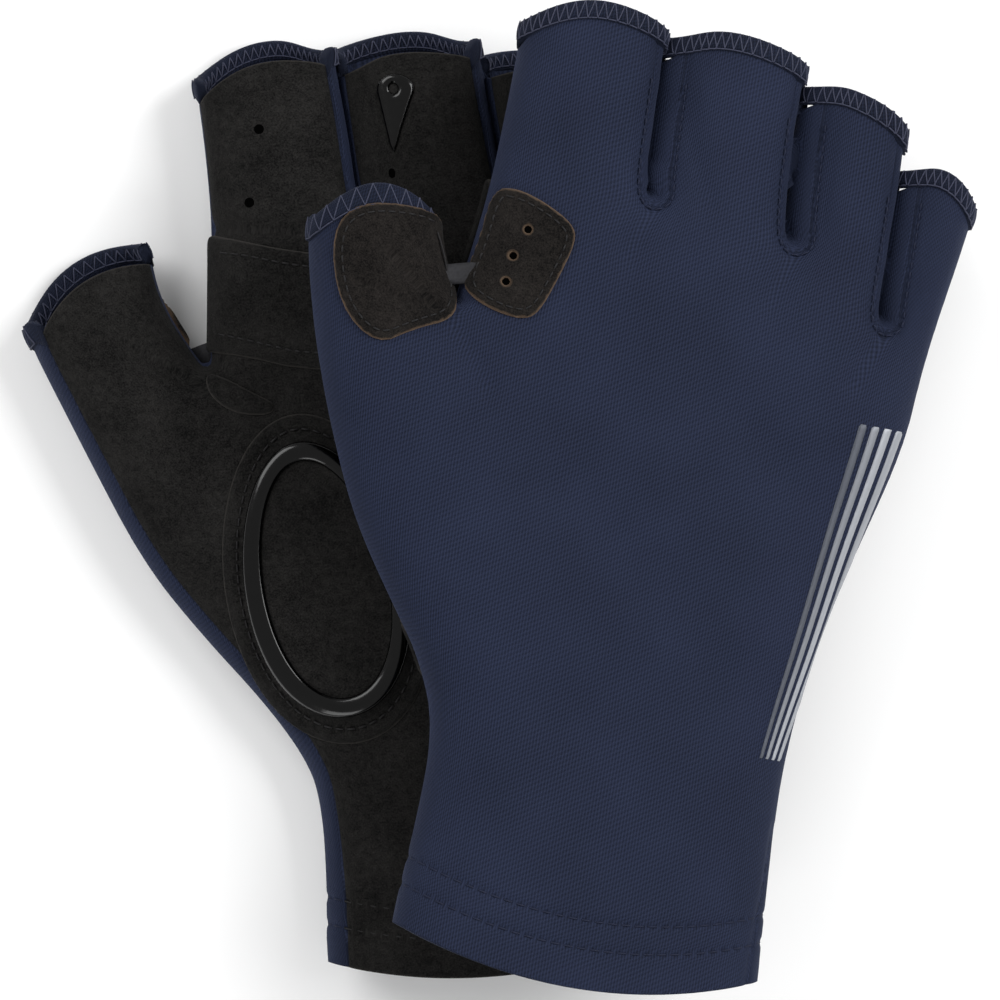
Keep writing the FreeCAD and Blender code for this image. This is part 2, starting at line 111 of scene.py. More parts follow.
@dataclass(frozen=True)
class HandPlan:
    """The outline of one glove, seen on its upper face."""

    outer_edge: Plan             # from the wrist along the thumb's outer side to its rim
    thumb_inner: Plan            # from the thumb's rim down to the web
    thumb: Rim
    index_edge: Plan = ((-45.6, 127.0), (-42.4, 147.0), (-41.8, 165.0), (-41.7, 181.0))
    little_edge: Plan = ((55.3, 159.8), (53.1, 146.0), (50.2, 124.0), (49.1, 112.0),
                         (44.2, 91.5), (37.9, 70.0), (35.5, 46.0), (35.6, 24.0), (37.6, 0.0))
    slits: tuple[Plan, ...] = (((-12.6, 151.7), (-13.4, 183.0)), ((17.3, 147.7), (15.7, 180.0)),
                               ((38.7, 135.0), (37.8, 168.0)))
    fingers: tuple[Rim, ...] = (
        Rim("index", (-41.7, 180.6), (-13.6, 183.0), 5.0),
        Rim("middle", (-13.2, 182.2), (15.8, 181.0), 3.6),
        Rim("ring", (15.7, 177.6), (38.0, 171.6), 3.4),
        Rim("little", (37.8, 164.2), (55.2, 159.4), 3.8),
    )
    wrist: Rim = Rim("wrist", (-37.6, 0.0), (37.6, 0.0), -7.0)
    web: tuple[float, float] = (-46.0, 124.0)
    web_lean: float = -0.19      # of the line that parts the thumb from the index finger
    stall_level: float = 118.0   # above this a place may belong to a finger's stall
    thumb_level: float = 106.0   # and above this to the thumb's
    overrun: float = 26.0        # how far the sides are carried past the rims

    def carried(self, points: Plan, lean: float = 0.0) -> list[tuple[float, float]]:
        """The points with one more past the last, straight on or leaning by degrees."""
        last = points[-1]
        turn = math.radians(lean)
        more = (last[0] - self.overrun * math.sin(turn), last[1] + self.overrun * math.cos(turn))
        return [*points, more]

    def boundary(self) -> tuple[np.ndarray, list[np.ndarray]]:
        """The closed outline carried past every rim, and the slits between the fingers."""
        tip = self.thumb.frame()[2]
        lean = math.degrees(math.atan2(-tip[0], tip[1]))
        wrist = [(self.wrist.left[0] - 0.6, -self.overrun)]
        outer = smooth(wrist + self.carried(self.outer_edge, lean))
        inner = smooth(self.carried(self.thumb_inner[::-1], lean))[::-1]
        index = smooth(self.carried(self.index_edge))
        little = smooth(self.carried(self.little_edge[::-1], -8.0))[::-1]
        foot = np.array([(self.wrist.right[0] + 0.6, -self.overrun)])
        slits = [smooth(self.carried(slit)) for slit in self.slits]
        return np.vstack((outer, inner, index, little, foot)), slits

    def past_rims(self, x: np.ndarray, y: np.ndarray) -> np.ndarray:
        """How far each place lies past the rim of the stall that it belongs to."""
        past = np.full(x.shape, -99.0)
        thumb = x < self.web[0] + self.web_lean * (y - self.web[1])
        walls = []
        for (x0, y0), (x1, y1) in self.slits:
            walls.append(x0 + (x1 - x0) * (y - y0) / (y1 - y0))
        sides = [np.full(x.shape, -999.0), *walls, np.full(x.shape, 999.0)]
        for rim, low, high in zip(self.fingers, sides, sides[1:]):
            here = ~thumb & (x >= low) & (x < high) & (y > self.stall_level)
            past = np.where(here, rim.beyond(x, y), past)
        here = thumb & (y > self.thumb_level)
        return np.where(here, self.thumb.beyond(x, y), past)


def smooth(points: Iterable[Sequence[float]], rounds: int = 3) -> np.ndarray:
    """An open line with its corners cut, which keeps its two ends.

    Args:
        points: The corners of the line.
        rounds: How often each corner is cut.

    Returns:
        The points of the smoother line.
    """
    line = np.array(list(points), float)
    for _ in range(rounds):
        near = 0.75 * line[:-1] + 0.25 * line[1:]
        far = 0.25 * line[:-1] + 0.75 * line[1:]
        middle = np.empty((2 * len(near), line.shape[1]))
        middle[0::2], middle[1::2] = near, far
        line = np.vstack((line[:1], middle[1:-1], line[-1:]))
    return line


def smooth_loop(points: Plan, rounds: int = 3) -> np.ndarray:
    """A closed line with its corners cut."""
    line = np.array(points, float)
    for _ in range(rounds):
        after = np.roll(line, -1, axis=0)
        both = np.empty((2 * len(line), 2))
        both[0::2], both[1::2] = 0.75 * line + 0.25 * after, 0.25 * line + 0.75 * after
        line = both
    return line


def distance_to_line(x: np.ndarray, y: np.ndarray, line: np.ndarray) -> np.ndarray:
    """How far each place is from a line of straight runs."""
    best = np.full(x.shape, 1e9)
    for (x0, y0), (x1, y1) in zip(line, line[1:]):
        dx, dy = x1 - x0, y1 - y0
        length = max(dx * dx + dy * dy, 1e-12)
        share = np.clip(((x - x0) * dx + (y - y0) * dy) / length, 0.0, 1.0)
        best = np.minimum(best, (x - x0 - share * dx) ** 2 + (y - y0 - share * dy) ** 2)
    return np.sqrt(best)


def inside_loop(x: np.ndarray, y: np.ndarray, loop: np.ndarray) -> np.ndarray:
    """Which places lie inside a closed line."""
    inside = np.zeros(x.shape, bool)
    for (x0, y0), (x1, y1) in zip(loop, np.roll(loop, -1, axis=0)):
        if y0 != y1:
            crosses = (y0 > y) != (y1 > y)
            inside ^= crosses & (x < x0 + (x1 - x0) * (y - y0) / (y1 - y0))
    return inside


def outside_loop(x: np.ndarray, y: np.ndarray, loop: np.ndarray) -> np.ndarray:
    """The signed distance from a closed line, below zero inside it."""
    away = distance_to_line(x, y, np.vstack((loop, loop[:1])))
    return np.where(inside_loop(x, y, loop), -away, away)


@dataclass
class Grid:
    """Values on a square grid over the plan, read in between by straight blending."""

    low: tuple[float, float]
    step: float
    values: np.ndarray

    def at(self, x: np.ndarray, y: np.ndarray) -> np.ndarray:
        """The blended value at each place."""
        rows, columns = self.values.shape
        u = np.clip((x - self.low[0]) / self.step, 0.0, columns - 1.001)
        v = np.clip((y - self.low[1]) / self.step, 0.0, rows - 1.001)
        i, j = u.astype(int), v.astype(int)
        a, b = u - i, v - j
        w = self.values
        return ((w[j, i] * (1 - a) + w[j, i + 1] * a) * (1 - b)
                + (w[j + 1, i] * (1 - a) + w[j + 1, i + 1] * a) * b)


@dataclass
class Crease:
    """A soft fold pressed into the cloth, or raised where its depth is below zero."""

    start: tuple[float, float]
    end: tuple[float, float]
    depth: float
    width: float


class Form:
    """The filled-out body of a glove: half its thickness over every place of its plan."""

    LOW = (-100.0, -28.0)
    HIGH = (68.0, 212.0)
    STEP = 0.5
    HALF_THICKNESS = 10.0
    SLIT_HALF = 0.32             # half the gap between two fingers
    CUFF_ROWS = (8.0, 13.6)      # stitched rows, measured in from the wrist's edge
    CUFF_DRAW = 0.32             # how far a row draws the cloth in
    EDGE = 1.6                   # within this of the edge the fall is worked out exactly
    HAND_REACH = 13.0            # how far in from its sides the hand still rises
    STALL_REACH = 8.0
    ROUNDS = 130                 # of evening out the swelling
    OVERSHOOT = 1.86             # how far each round goes past its aim

    def __init__(self, plan: HandPlan, creases: Sequence[Crease], seed: int) -> None:
        """Makes the skin's height on a grid.

        Args:
            plan: The outline.
            creases: Folds of the upper face.
            seed: For the cloth's waves.
        """
        self.plan = plan
        self.creases = creases
        self.waves = np.random.default_rng(seed).uniform(-1.0, 1.0, (7, 4))
        x, y = np.meshgrid(np.arange(self.LOW[0], self.HIGH[0], self.STEP),
                           np.arange(self.LOW[1], self.HIGH[1], self.STEP))
        loop, slits = plan.boundary()
        edge = -outside_loop(x, y, loop)
        self.slits = []
        for slit in slits:
            away = distance_to_line(x, y, slit)
            self.slits.append(Grid(self.LOW, self.STEP, away))
            edge = np.minimum(edge, away - self.SLIT_HALF)
        level = np.clip((y - plan.stall_level) / 30.0, 0.0, 1.0)
        aside = np.clip((-x - 46.0) / 12.0, 0.0, 1.0) * np.clip((y - 80.0) / 30.0, 0.0, 1.0)
        stall = np.maximum(level, aside)
        reach = self.HAND_REACH + (self.STALL_REACH - self.HAND_REACH) * stall
        rise = self.filled(edge > 0.0, 1.0 / reach ** 2)
        grid = Grid(self.LOW, self.STEP, rise)
        slope_y, slope_x = np.gradient(edge, self.STEP)
        more = self.EDGE - edge
        within = grid.at(x + slope_x * more, y + slope_y * more)
        rise = np.where(edge < self.EDGE, np.maximum(within, 0.05) * edge / self.EDGE, rise)
        self.edge = Grid(self.LOW, self.STEP, edge)
        self.square = Grid(self.LOW, self.STEP, self.HALF_THICKNESS ** 2 * rise)

    def filled(self, inside: np.ndarray, pull: np.ndarray) -> np.ndarray:
        """A smooth swelling that is zero at the edge and nears one far from it.

        Args:
            inside: Where the glove is.
            pull: How strongly each place is drawn to one.

        Returns:
            The swelling on the grid.
        """
        rise = np.zeros(inside.shape)
        rows, columns = np.indices(inside.shape)
        core = inside[1:-1, 1:-1]
        colour = (rows + columns)[1:-1, 1:-1] % 2
        near = 1.0 / self.STEP ** 2
        weight = 4.0 * near + pull[1:-1, 1:-1]
        for _ in range(self.ROUNDS):
            for turn in (0, 1):
                around = rise[2:, 1:-1] + rise[:-2, 1:-1] + rise[1:-1, 2:] + rise[1:-1, :-2]
                aim = (around * near + pull[1:-1, 1:-1]) / weight
                here = core & (colour == turn)
                rise[1:-1, 1:-1] += np.where(here, self.OVERSHOOT * (aim - rise[1:-1, 1:-1]), 0.0)
        return rise

    def height(self, x: np.ndarray, y: np.ndarray) -> np.ndarray:
        """Half the thickness at each place."""
        return np.sqrt(np.maximum(self.square.at(x, y), 0.0))

    def normals(self, points: np.ndarray) -> np.ndarray:
        """The outward directions at points of the form."""
        x, y, z = points.T
        reach = 0.6
        dx = (self.square.at(x + reach, y) - self.square.at(x - reach, y)) / (2.0 * reach)
        dy = (self.square.at(x, y + reach) - self.square.at(x, y - reach)) / (2.0 * reach)
        out = np.stack((-dx, -dy, 2.0 * z), axis=1)
        return out / np.maximum(np.linalg.norm(out, axis=1), 1e-9)[:, None]

    def slit_share(self, x: np.ndarray, y: np.ndarray) -> np.ndarray:
        """1 at a slit between two fingers, falling to 0 away from it."""
        away = np.min([slit.at(x, y) for slit in self.slits], axis=0)
        return np.exp(-(away / 7.0) ** 2)

    def folds(self, points: np.ndarray) -> np.ndarray:
        """How far the cloth waves in or out at each point, from its creases and its looseness."""
        x, y, z = points.T
        lift = np.zeros(len(points))
        for a, b, c, phase in self.waves:
            lift += 0.09 * np.sin((a * x + b * y) * 0.16 + c * z * 0.1 + 3.0 * phase)
        from_wrist = self.plan.wrist.beyond(x, y)
        for row in self.CUFF_ROWS:
            lift -= self.CUFF_DRAW * np.exp(-((from_wrist - row) / 0.8) ** 2)
        upper = z > 0.0
        for crease in self.creases:
            line = smooth((crease.start, crease.end), 1)
            away = distance_to_line(x, y, line)
            lift -= np.where(upper, crease.depth * np.exp(-(away / crease.width) ** 2), 0.0)
        return lift

    def skin(self, flat: np.ndarray, upper: np.ndarray | float, lift: np.ndarray | float
             ) -> np.ndarray:
        """Points on the glove's face over places of the plan.

        Args:
            flat: One row of x and y for each point.
            upper: 1 for the upper face, -1 for the lower one.
            lift: How far out of the face each point stands.

        Returns:
            One row of x, y and z for each point.
        """
        x, y = flat.T
        base = np.stack((x, y, upper * self.height(x, y)), axis=1)
        out = self.normals(base + np.array((0.0, 0.0, 1e-4)) * np.reshape(upper, (-1, 1)))
        return base + out * np.reshape(lift + self.folds(base), (-1, 1))

    def around(self, rim: Rim, turns: np.ndarray, beyond: float, lift: np.ndarray | float,
               upper: float, back: np.ndarray | float = 0.0) -> tuple[np.ndarray, np.ndarray]:
        """Points that run round a tube beside one of its rims.

        Args:
            rim: The open edge to follow.
            turns: Angles round the tube: 0 is its left side, and pi its right side, over the
                named face. Angles outside that run on round the other face.
            beyond: Millimetres past the rim.
            lift: Height over the face.
            upper: 1 if the named face is the upper one, and -1 if not.
            back: How far each point stands back into the glove from there.

        Returns:
            The points, and the outward directions at them.
        """
        share = np.linspace(-0.15, 1.15, 521)
        flat = rim.curve(share, np.full(share.shape, beyond))
        within = self.square.at(flat[:, 0], flat[:, 1]) > 0.0
        middle = len(share) // 2
        low = middle - np.argmin(within[middle::-1]) + 1
        high = middle + np.argmin(within[middle:]) - 1
        centre, half = (share[low] + share[high]) / 2.0, (share[high] - share[low]) / 2.0
        flat = rim.curve(centre - half * np.cos(turns), np.full(turns.shape, beyond) - back)
        face = np.where(np.sin(turns) >= 0.0, upper, -upper)
        height = self.height(flat[:, 0], flat[:, 1])
        base = np.column_stack((flat, face * height))
        probe = base.copy()
        probe[:, 2] = np.where(np.abs(probe[:, 2]) < 0.05, 0.05 * face, probe[:, 2])
        out = self.normals(probe)
        return base + out * (lift + self.folds(base))[:, None], out


# ---- meshes ---------------------------------------------------------------------------

@dataclass
class Cloth:
    """A sheet of faces in the glove's own frame."""

    points: np.ndarray
    faces: list[tuple[int, ...]]

    def cut(self, past: Callable[[np.ndarray], np.ndarray]) -> "Cloth":
        """The part of the sheet where a value is at most zero, cut along its zero line.

        Args:
            past: Gives the value at each point.

        Returns:
            The kept part.
        """
        value = past(self.points)
        keep = (value <= 0.02).tolist()
        points = list(map(tuple, self.points.tolist()))
        values = value.tolist()
        made: dict[tuple[int, int], int] = {}
        faces: list[tuple[int, ...]] = []
        for face in self.faces:
            state = [keep[k] for k in face]
            if all(state):
                faces.append(face)
                continue
            if not any(state):
                continue
            outline: list[int] = []
            for here, there in zip(face, face[1:] + face[:1]):
                if keep[here]:
                    outline.append(here)
                if keep[here] != keep[there]:
                    key = (min(here, there), max(here, there))
                    if key not in made:
                        a, b = key
                        share = min(max(values[a] / (values[a] - values[b]), 0.0), 1.0)
                        made[key] = len(points)
                        points.append(tuple(p + (q - p) * share
                                            for p, q in zip(points[a], points[b])))
                    if made[key] not in outline:
                        outline.append(made[key])
            if len(outline) > 2:
                faces.append(tuple(outline))
        return Cloth(np.array(points), faces).packed()

    def packed(self) -> "Cloth":
        """The sheet without points that no face uses."""
        if not self.faces:
            raise ValueError("nothing is left of a sheet of cloth")
        used = np.unique(np.concatenate([np.array(face) for face in self.faces]))
        order = np.full(len(self.points), -1)
        order[used] = np.arange(len(used))
        table = order.tolist()
        return Cloth(self.points[used], [tuple(table[k] for k in face) for face in self.faces])

    def open_edges(self) -> list[tuple[int, int]]:
        """The directed edges that only one face has."""
        seen = {(a, b) for face in self.faces for a, b in zip(face, face[1:] + face[:1])}
        return [(a, b) for a, b in seen if (b, a) not in seen]

    def walled(self, outer: np.ndarray, inner: np.ndarray) -> "Cloth":
        """A closed solid between two copies of the sheet.

        Args:
            outer: Where each point stands on the outer face.
            inner: Where it stands on the inner face.

        Returns:
            The solid.
        """
        count = len(self.points)
        faces = list(self.faces)
        faces += [tuple(k + count for k in reversed(face)) for face in self.faces]
        faces += [(b, a, a + count, b + count) for a, b in sorted(self.open_edges())]
        return Cloth(np.vstack((outer, inner)), faces)


def joined(parts: Sequence[Cloth]) -> Cloth:
    """Several meshes as one."""
    faces, start = [], 0
    for part in parts:
        faces += [tuple(k + start for k in face) for face in part.faces]
        start += len(part.points)
    return Cloth(np.vstack([part.points for part in parts]), faces)


def surface_net(values: np.ndarray, low: np.ndarray, cell: float) -> Cloth:
    """The sheet of quads where a value sampled on a block crosses zero.

    Args:
        values: The samples, below zero inside the body.
        low: The block's lowest corner.
        cell: The distance between samples.

    Returns:
        The closed sheet, its faces turned outwards.
    """
    inside = values < 0.0
    shape = np.array(values.shape) - 1
    total = np.zeros((*shape, 3))
    count = np.zeros(shape)
    nodes = np.stack(np.indices(values.shape), axis=-1).astype(float)
    crossings = []
    for axis in range(3):
        first = [slice(None)] * 3
        second = [slice(None)] * 3
        first[axis], second[axis] = slice(0, -1), slice(1, None)
        a, b = values[tuple(first)], values[tuple(second)]
        crosses = inside[tuple(first)] != inside[tuple(second)]
        share = np.where(crosses, a / np.where(crosses, a - b, 1.0), 0.0)
        place = nodes[tuple(first)] * crosses[..., None]
        place[..., axis] += share
        others = [k for k in range(3) if k != axis]
        for step_a in (0, 1):
            for step_b in (0, 1):
                part = [slice(0, shape[k]) for k in range(3)]
                part[others[0]] = slice(step_a, step_a + shape[others[0]])
                part[others[1]] = slice(step_b, step_b + shape[others[1]])
                total += place[tuple(part)]
                count += crosses[tuple(part)]
        crossings.append((axis, others, crosses, inside[tuple(first)]))
    found = count > 0
    index = np.full(found.shape, -1)
    index[found] = np.arange(found.sum())
    points = low + cell * total[found] / count[found][:, None]
    quads = []
    for axis, others, crosses, starts_inside in crossings:
        at = np.argwhere(crosses)
        at = at[(at[:, others[0]] > 0) & (at[:, others[1]] > 0)]
        at = at[(at[:, others[0]] < shape[others[0]]) & (at[:, others[1]] < shape[others[1]])]
        corners = []
        for back_a, back_b in ((1, 1), (0, 1), (0, 0), (1, 0)):
            cells = at.copy()
            cells[:, others[0]] -= back_a
            cells[:, others[1]] -= back_b
            corners.append(index[tuple(cells.T)])
        quad = np.stack(corners, axis=1)
        outward = starts_inside[tuple(at.T)]
        if axis == 1:
            outward = ~outward
        quad[~outward] = quad[~outward][:, ::-1]
        quads.append(quad)
    return Cloth(points, list(map(tuple, np.vstack(quads).tolist())))


class Wearer:
    """Where one glove lies: it turns a mesh of the glove's own frame into an object."""

    def __init__(self, side: Side, form: Form, lean: float) -> None:
        """Reads the glove's place from the record's wrist opening.

        Args:
            side: The hand that it is for.
            form: The glove's body.
            lean: How far the slits between the fingers lean across for each millimetre up,
                so that two neighbours press together.
        """
        self.side = side.value
        self.form = form
        self.lean = lean
        self.body = self.side + "_glove"
        mounts = {mount["name"]: mount for mount in frame["record"]["mounts"]}
        mount = mounts[self.side + "_wrist_opening"]
        along = -Vector(mount["axis"]).normalized()
        tilt = math.atan(-along.z / along.x)
        up = Vector((math.sin(tilt), 0.0, math.cos(tilt)))
        self.origin = np.array(mount["pos_m"])
        self.axes = np.array((along.cross(up), along, up))

    def placed(self, points: np.ndarray) -> np.ndarray:
        """Points of the glove's frame in metres of the pair's frame."""
        x, y, z = points.T
        leant = np.column_stack((x + self.lean * z * self.form.slit_share(x, y), y, z))
        return self.origin + (leant * MM) @ self.axes

    def turned(self, directions: np.ndarray) -> np.ndarray:
        """Directions of the glove's frame in the pair's frame."""
        return directions @ self.axes

    def piece(self, name: str, cloth: Cloth, material: bpy.types.Material,
              **values: np.ndarray) -> bpy.types.Object:
        """A mesh object with its weave's map and its named values.

        Args:
            name: The piece's name without its side.
            cloth: The mesh in the glove's frame.
            material: Its finish.
            values: A number for each point, by the attribute's name.

        Returns:
            The object, which already rides on its glove.
        """
        mesh = bpy.data.meshes.new(f"{self.side}_{name}")
        mesh.from_pydata(self.placed(cloth.points).tolist(), [], cloth.faces)
        mesh.polygons.foreach_set("use_smooth", [True] * len(mesh.polygons))
        mesh.materials.append(material)
        x, y, z = cloth.points.T
        normals = np.zeros(len(mesh.vertices) * 3, np.float32)
        mesh.vertices.foreach_get("normal", normals)
        local = normals.reshape(-1, 3) @ self.axes.T
        spread = Form.HALF_THICKNESS - np.abs(z)
        flat = np.stack((x + local[:, 0] * spread, y + local[:, 1] * spread), axis=1)
        corners = np.zeros(len(mesh.loops), np.int32)
        mesh.loops.foreach_get("vertex_index", corners)
        layer = mesh.uv_layers.new(name="cloth")
        layer.uv.foreach_set("vector", flat[corners].astype(np.float32).ravel())
        for key, numbers in values.items():
            attribute = mesh.attributes.new(key, "FLOAT", "POINT")
            attribute.data.foreach_set("value", np.asarray(numbers, np.float32))
        thing = bpy.data.objects.new(mesh.name, mesh)
        bpy.context.scene.collection.objects.link(thing)
        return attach(thing, self.body)


# ---- thread ---------------------------------------------------------------------------

@dataclass
class Stitches:
    """Single stitches gathered from every row of one thread."""

    middles: list[np.ndarray] = field(default_factory=list)
    runs: list[np.ndarray] = field(default_factory=list)
    facings: list[np.ndarray] = field(default_factory=list)

    def between(self, starts: np.ndarray, ends: np.ndarray, facing: np.ndarray) -> None:
        """Adds one stitch from each start to its end.

        Args:
            starts: Where the stitches begin.
            ends: Where they end.
            facing: The directions out of the cloth.
        """
        self.middles.append((starts + ends) / 2.0)
        self.runs.append(ends - starts)
        self.facings.append(facing)

    def row(self, points: np.ndarray, facing: np.ndarray, share: float = 0.68) -> None:
        """Adds a running row through evenly spaced points.

        Args:
            points: The needle holes, in order.
            facing: The directions out of the cloth at them.
            share: How much of each step shows as thread.
        """
        starts, ends = points[:-1], points[1:]
        middle = (starts + ends) / 2.0
        half = (ends - starts) * share / 2.0
        self.between(middle - half, middle + half, (facing[:-1] + facing[1:]) / 2.0)

    def zigzag(self, low: np.ndarray, high: np.ndarray, facing: np.ndarray) -> None:
        """Adds legs up and down between two lines of points, and the loops along the lower."""
        self.between(low[:-1], high[:-1], facing[:-1])
        self.between(high[:-1], low[1:], facing[:-1])
        self.row(low, facing, 0.9)


def evenly(line: np.ndarray, pitch: float) -> np.ndarray:
    """Points at an even pitch along a line.

    Args:
        line: The line's points, one in each row.
        pitch: The wanted distance between two points.

    Returns:
        The new points, with both ends kept.
    """
    lengths = np.linalg.norm(np.diff(line, axis=0), axis=1)
    travelled = np.concatenate(((0.0,), np.cumsum(lengths)))
    count = max(int(round(travelled[-1] / pitch)), 2)
    marks = np.linspace(0.0, travelled[-1], count + 1)
    return np.stack([np.interp(marks, travelled, line[:, k]) for k in range(line.shape[1])], 1)


class ThreadTree:
    """The node tree that sews: it lays an arched stitch on every point of a mesh."""

    def __init__(self) -> None:
        """Builds the tree and keeps the identifiers of its inputs."""
        tree = bpy.data.node_groups.new("sewn_thread", "GeometryNodeTree")
        face = tree.interface
        face.new_socket("Geometry", in_out="INPUT", socket_type="NodeSocketGeometry")
        sizes = (("Thread Radius", 0.17 * MM), ("Arch", 0.35 * MM), ("Sink", 0.12 * MM))
        self.sockets = {}
        for name, value in sizes:
            socket = face.new_socket(name, in_out="INPUT", socket_type="NodeSocketFloat")
            socket.default_value = value
            self.sockets[name] = socket.identifier
        socket = face.new_socket("Thread", in_out="INPUT", socket_type="NodeSocketMaterial")
        self.sockets["Thread"] = socket.identifier
        face.new_socket("Geometry", in_out="OUTPUT", socket_type="NodeSocketGeometry")
        start = tree.nodes.new("NodeGroupInput")
        down = add(tree, "ShaderNodeMath", {0: 0.0, 1: start.outputs["Sink"]},
                   operation="SUBTRACT")
        ends = [add(tree, "ShaderNodeCombineXYZ", {"X": x, "Z": z})
                for x, z in ((-0.5, down.outputs[0]), (0.0, start.outputs["Arch"]),
                             (0.5, down.outputs[0]))]
        arc = add(tree, "GeometryNodeCurveQuadraticBezier",
                  {"Resolution": 5, "Start": ends[0].outputs[0], "Middle": ends[1].outputs[0],
                   "End": ends[2].outputs[0]})
        ring = add(tree, "GeometryNodeCurvePrimitiveCircle",
                   {"Resolution": 5, "Radius": start.outputs["Thread Radius"]})
        tube = add(tree, "GeometryNodeCurveToMesh",
                   {"Curve": arc.outputs["Curve"], "Profile Curve": ring.outputs["Curve"],
                    "Fill Caps": True})
        along = add(tree, "GeometryNodeInputNamedAttribute", {"Name": "along"},
                    data_type="FLOAT_VECTOR")
        facing = add(tree, "GeometryNodeInputNamedAttribute", {"Name": "facing"},
                     data_type="FLOAT_VECTOR")
        length = add(tree, "ShaderNodeVectorMath", {0: along.outputs["Attribute"]},
                     operation="LENGTH")
        turn = add(tree, "FunctionNodeAxesToRotation",
                   {0: along.outputs["Attribute"], 1: facing.outputs["Attribute"]},
                   primary_axis="X", secondary_axis="Z")
        size = add(tree, "ShaderNodeCombineXYZ",
                   {"X": length.outputs["Value"], "Y": 1.0, "Z": 1.0})
        laid = add(tree, "GeometryNodeInstanceOnPoints",
                   {"Points": start.outputs["Geometry"], "Instance": tube.outputs["Mesh"],
                    "Rotation": turn.outputs["Rotation"], "Scale": size.outputs[0]})
        real = add(tree, "GeometryNodeRealizeInstances", {0: laid.outputs["Instances"]})
        soft = add(tree, "GeometryNodeSetShadeSmooth", {0: real.outputs[0]})
        done = add(tree, "GeometryNodeSetMaterial",
                   {"Geometry": soft.outputs[0], "Material": start.outputs["Thread"]})
        end = tree.nodes.new("NodeGroupOutput")
        tree.links.new(done.outputs[0], end.inputs[0])
        self.tree = tree

    def sew(self, wearer: Wearer, name: str, stitches: Stitches, radius: float,
            material: bpy.types.Material, arch: float = 0.35) -> bpy.types.Object:
        """One glove's rows of one thread as a plain mesh.

        Args:
            wearer: Where the glove lies.
            name: The piece's name without its side.
            stitches: The stitches in the glove's frame.
            radius: Of the thread, in millimetres.
            material: The thread's finish.
            arch: How high a stitch rises over the cloth, in millimetres.

        Returns:
            The object, which already rides on its glove.
        """
        label = f"{wearer.side}_{name}"
        points = wearer.placed(np.vstack(stitches.middles))
        mesh = bpy.data.meshes.new(label + "_holes")
        mesh.from_pydata(points.tolist(), [], [])
        vectors = {"along": np.vstack(stitches.runs) * MM, "facing": np.vstack(stitches.facings)}
        for key, local in vectors.items():
            attribute = mesh.attributes.new(key, "FLOAT_VECTOR", "POINT")
            attribute.data.foreach_set("vector", wearer.turned(local).astype(np.float32).ravel())
        source = bpy.data.objects.new(label + "_holes", mesh)
        bpy.context.scene.collection.objects.link(source)
        modifier = source.modifiers.new("sewing", "NODES")
        modifier.node_group = self.tree
        modifier[self.sockets["Thread Radius"]] = radius * MM
        modifier[self.sockets["Arch"]] = arch * MM
        modifier[self.sockets["Thread"]] = material
        made = plain_copy(source, label)
        bpy.data.objects.remove(source)
        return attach(made, wearer.body)


def plain_copy(source: bpy.types.Object, name: str) -> bpy.types.Object:
    """What an object's modifiers make, as a new plain object."""
    ready = source.evaluated_get(bpy.context.evaluated_depsgraph_get())
    mesh = bpy.data.meshes.new_from_object(ready)
    mesh.name = name
    made = bpy.data.objects.new(name, mesh)
    bpy.context.scene.collection.objects.link(made)
    return made


def add(tree: bpy.types.NodeTree, kind: str, inputs: dict | None = None,
        **options: object) -> bpy.types.Node:
    """A new node with its options set and its inputs set or linked.

    Args:
        tree: The tree that it joins.
        kind: The node's type.
        inputs: A number, a colour or another node's output, by the input's name or place.
        options: The node's own properties.

    Returns:
        The node.
    """
    node = tree.nodes.new(kind)
    for key, value in options.items():
        setattr(node, key, value)
    for key, value in (inputs or {}).items():
        if isinstance(value, bpy.types.NodeSocket):
            tree.links.new(value, node.inputs[key])
        else:
            node.inputs[key].default_value = value
    return node


def calculate(tree: bpy.types.NodeTree, operation: str, *values: object,
              clamp: bool = False) -> bpy.types.NodeSocket:
    """The result of a new arithmetic node over numbers or other nodes' outputs."""
    node = add(tree, "ShaderNodeMath", dict(enumerate(values)), operation=operation,
               use_clamp=clamp)
    return node.outputs[0]


def noise(tree: bpy.types.NodeTree, place: bpy.types.NodeSocket, scale: object,
          detail: float, **more: float) -> bpy.types.NodeSocket:
    """The strength of a new noise texture, from 0 to 1."""
    inputs = {"Vector": place, "Scale": scale, "Detail": detail, **more}
    return add(tree, "ShaderNodeTexNoise", inputs).outputs["Fac"]


# ---- finishes -------------------------------------------------------------------------

def linear(red: int, green: int, blue: int) -> tuple[float, float, float, float]:
    """A colour given as it is seen on a screen, as the shader wants it."""
    return tuple((c / 255.0) ** 2.2 for c in (red, green, blue)) + (1.0,)


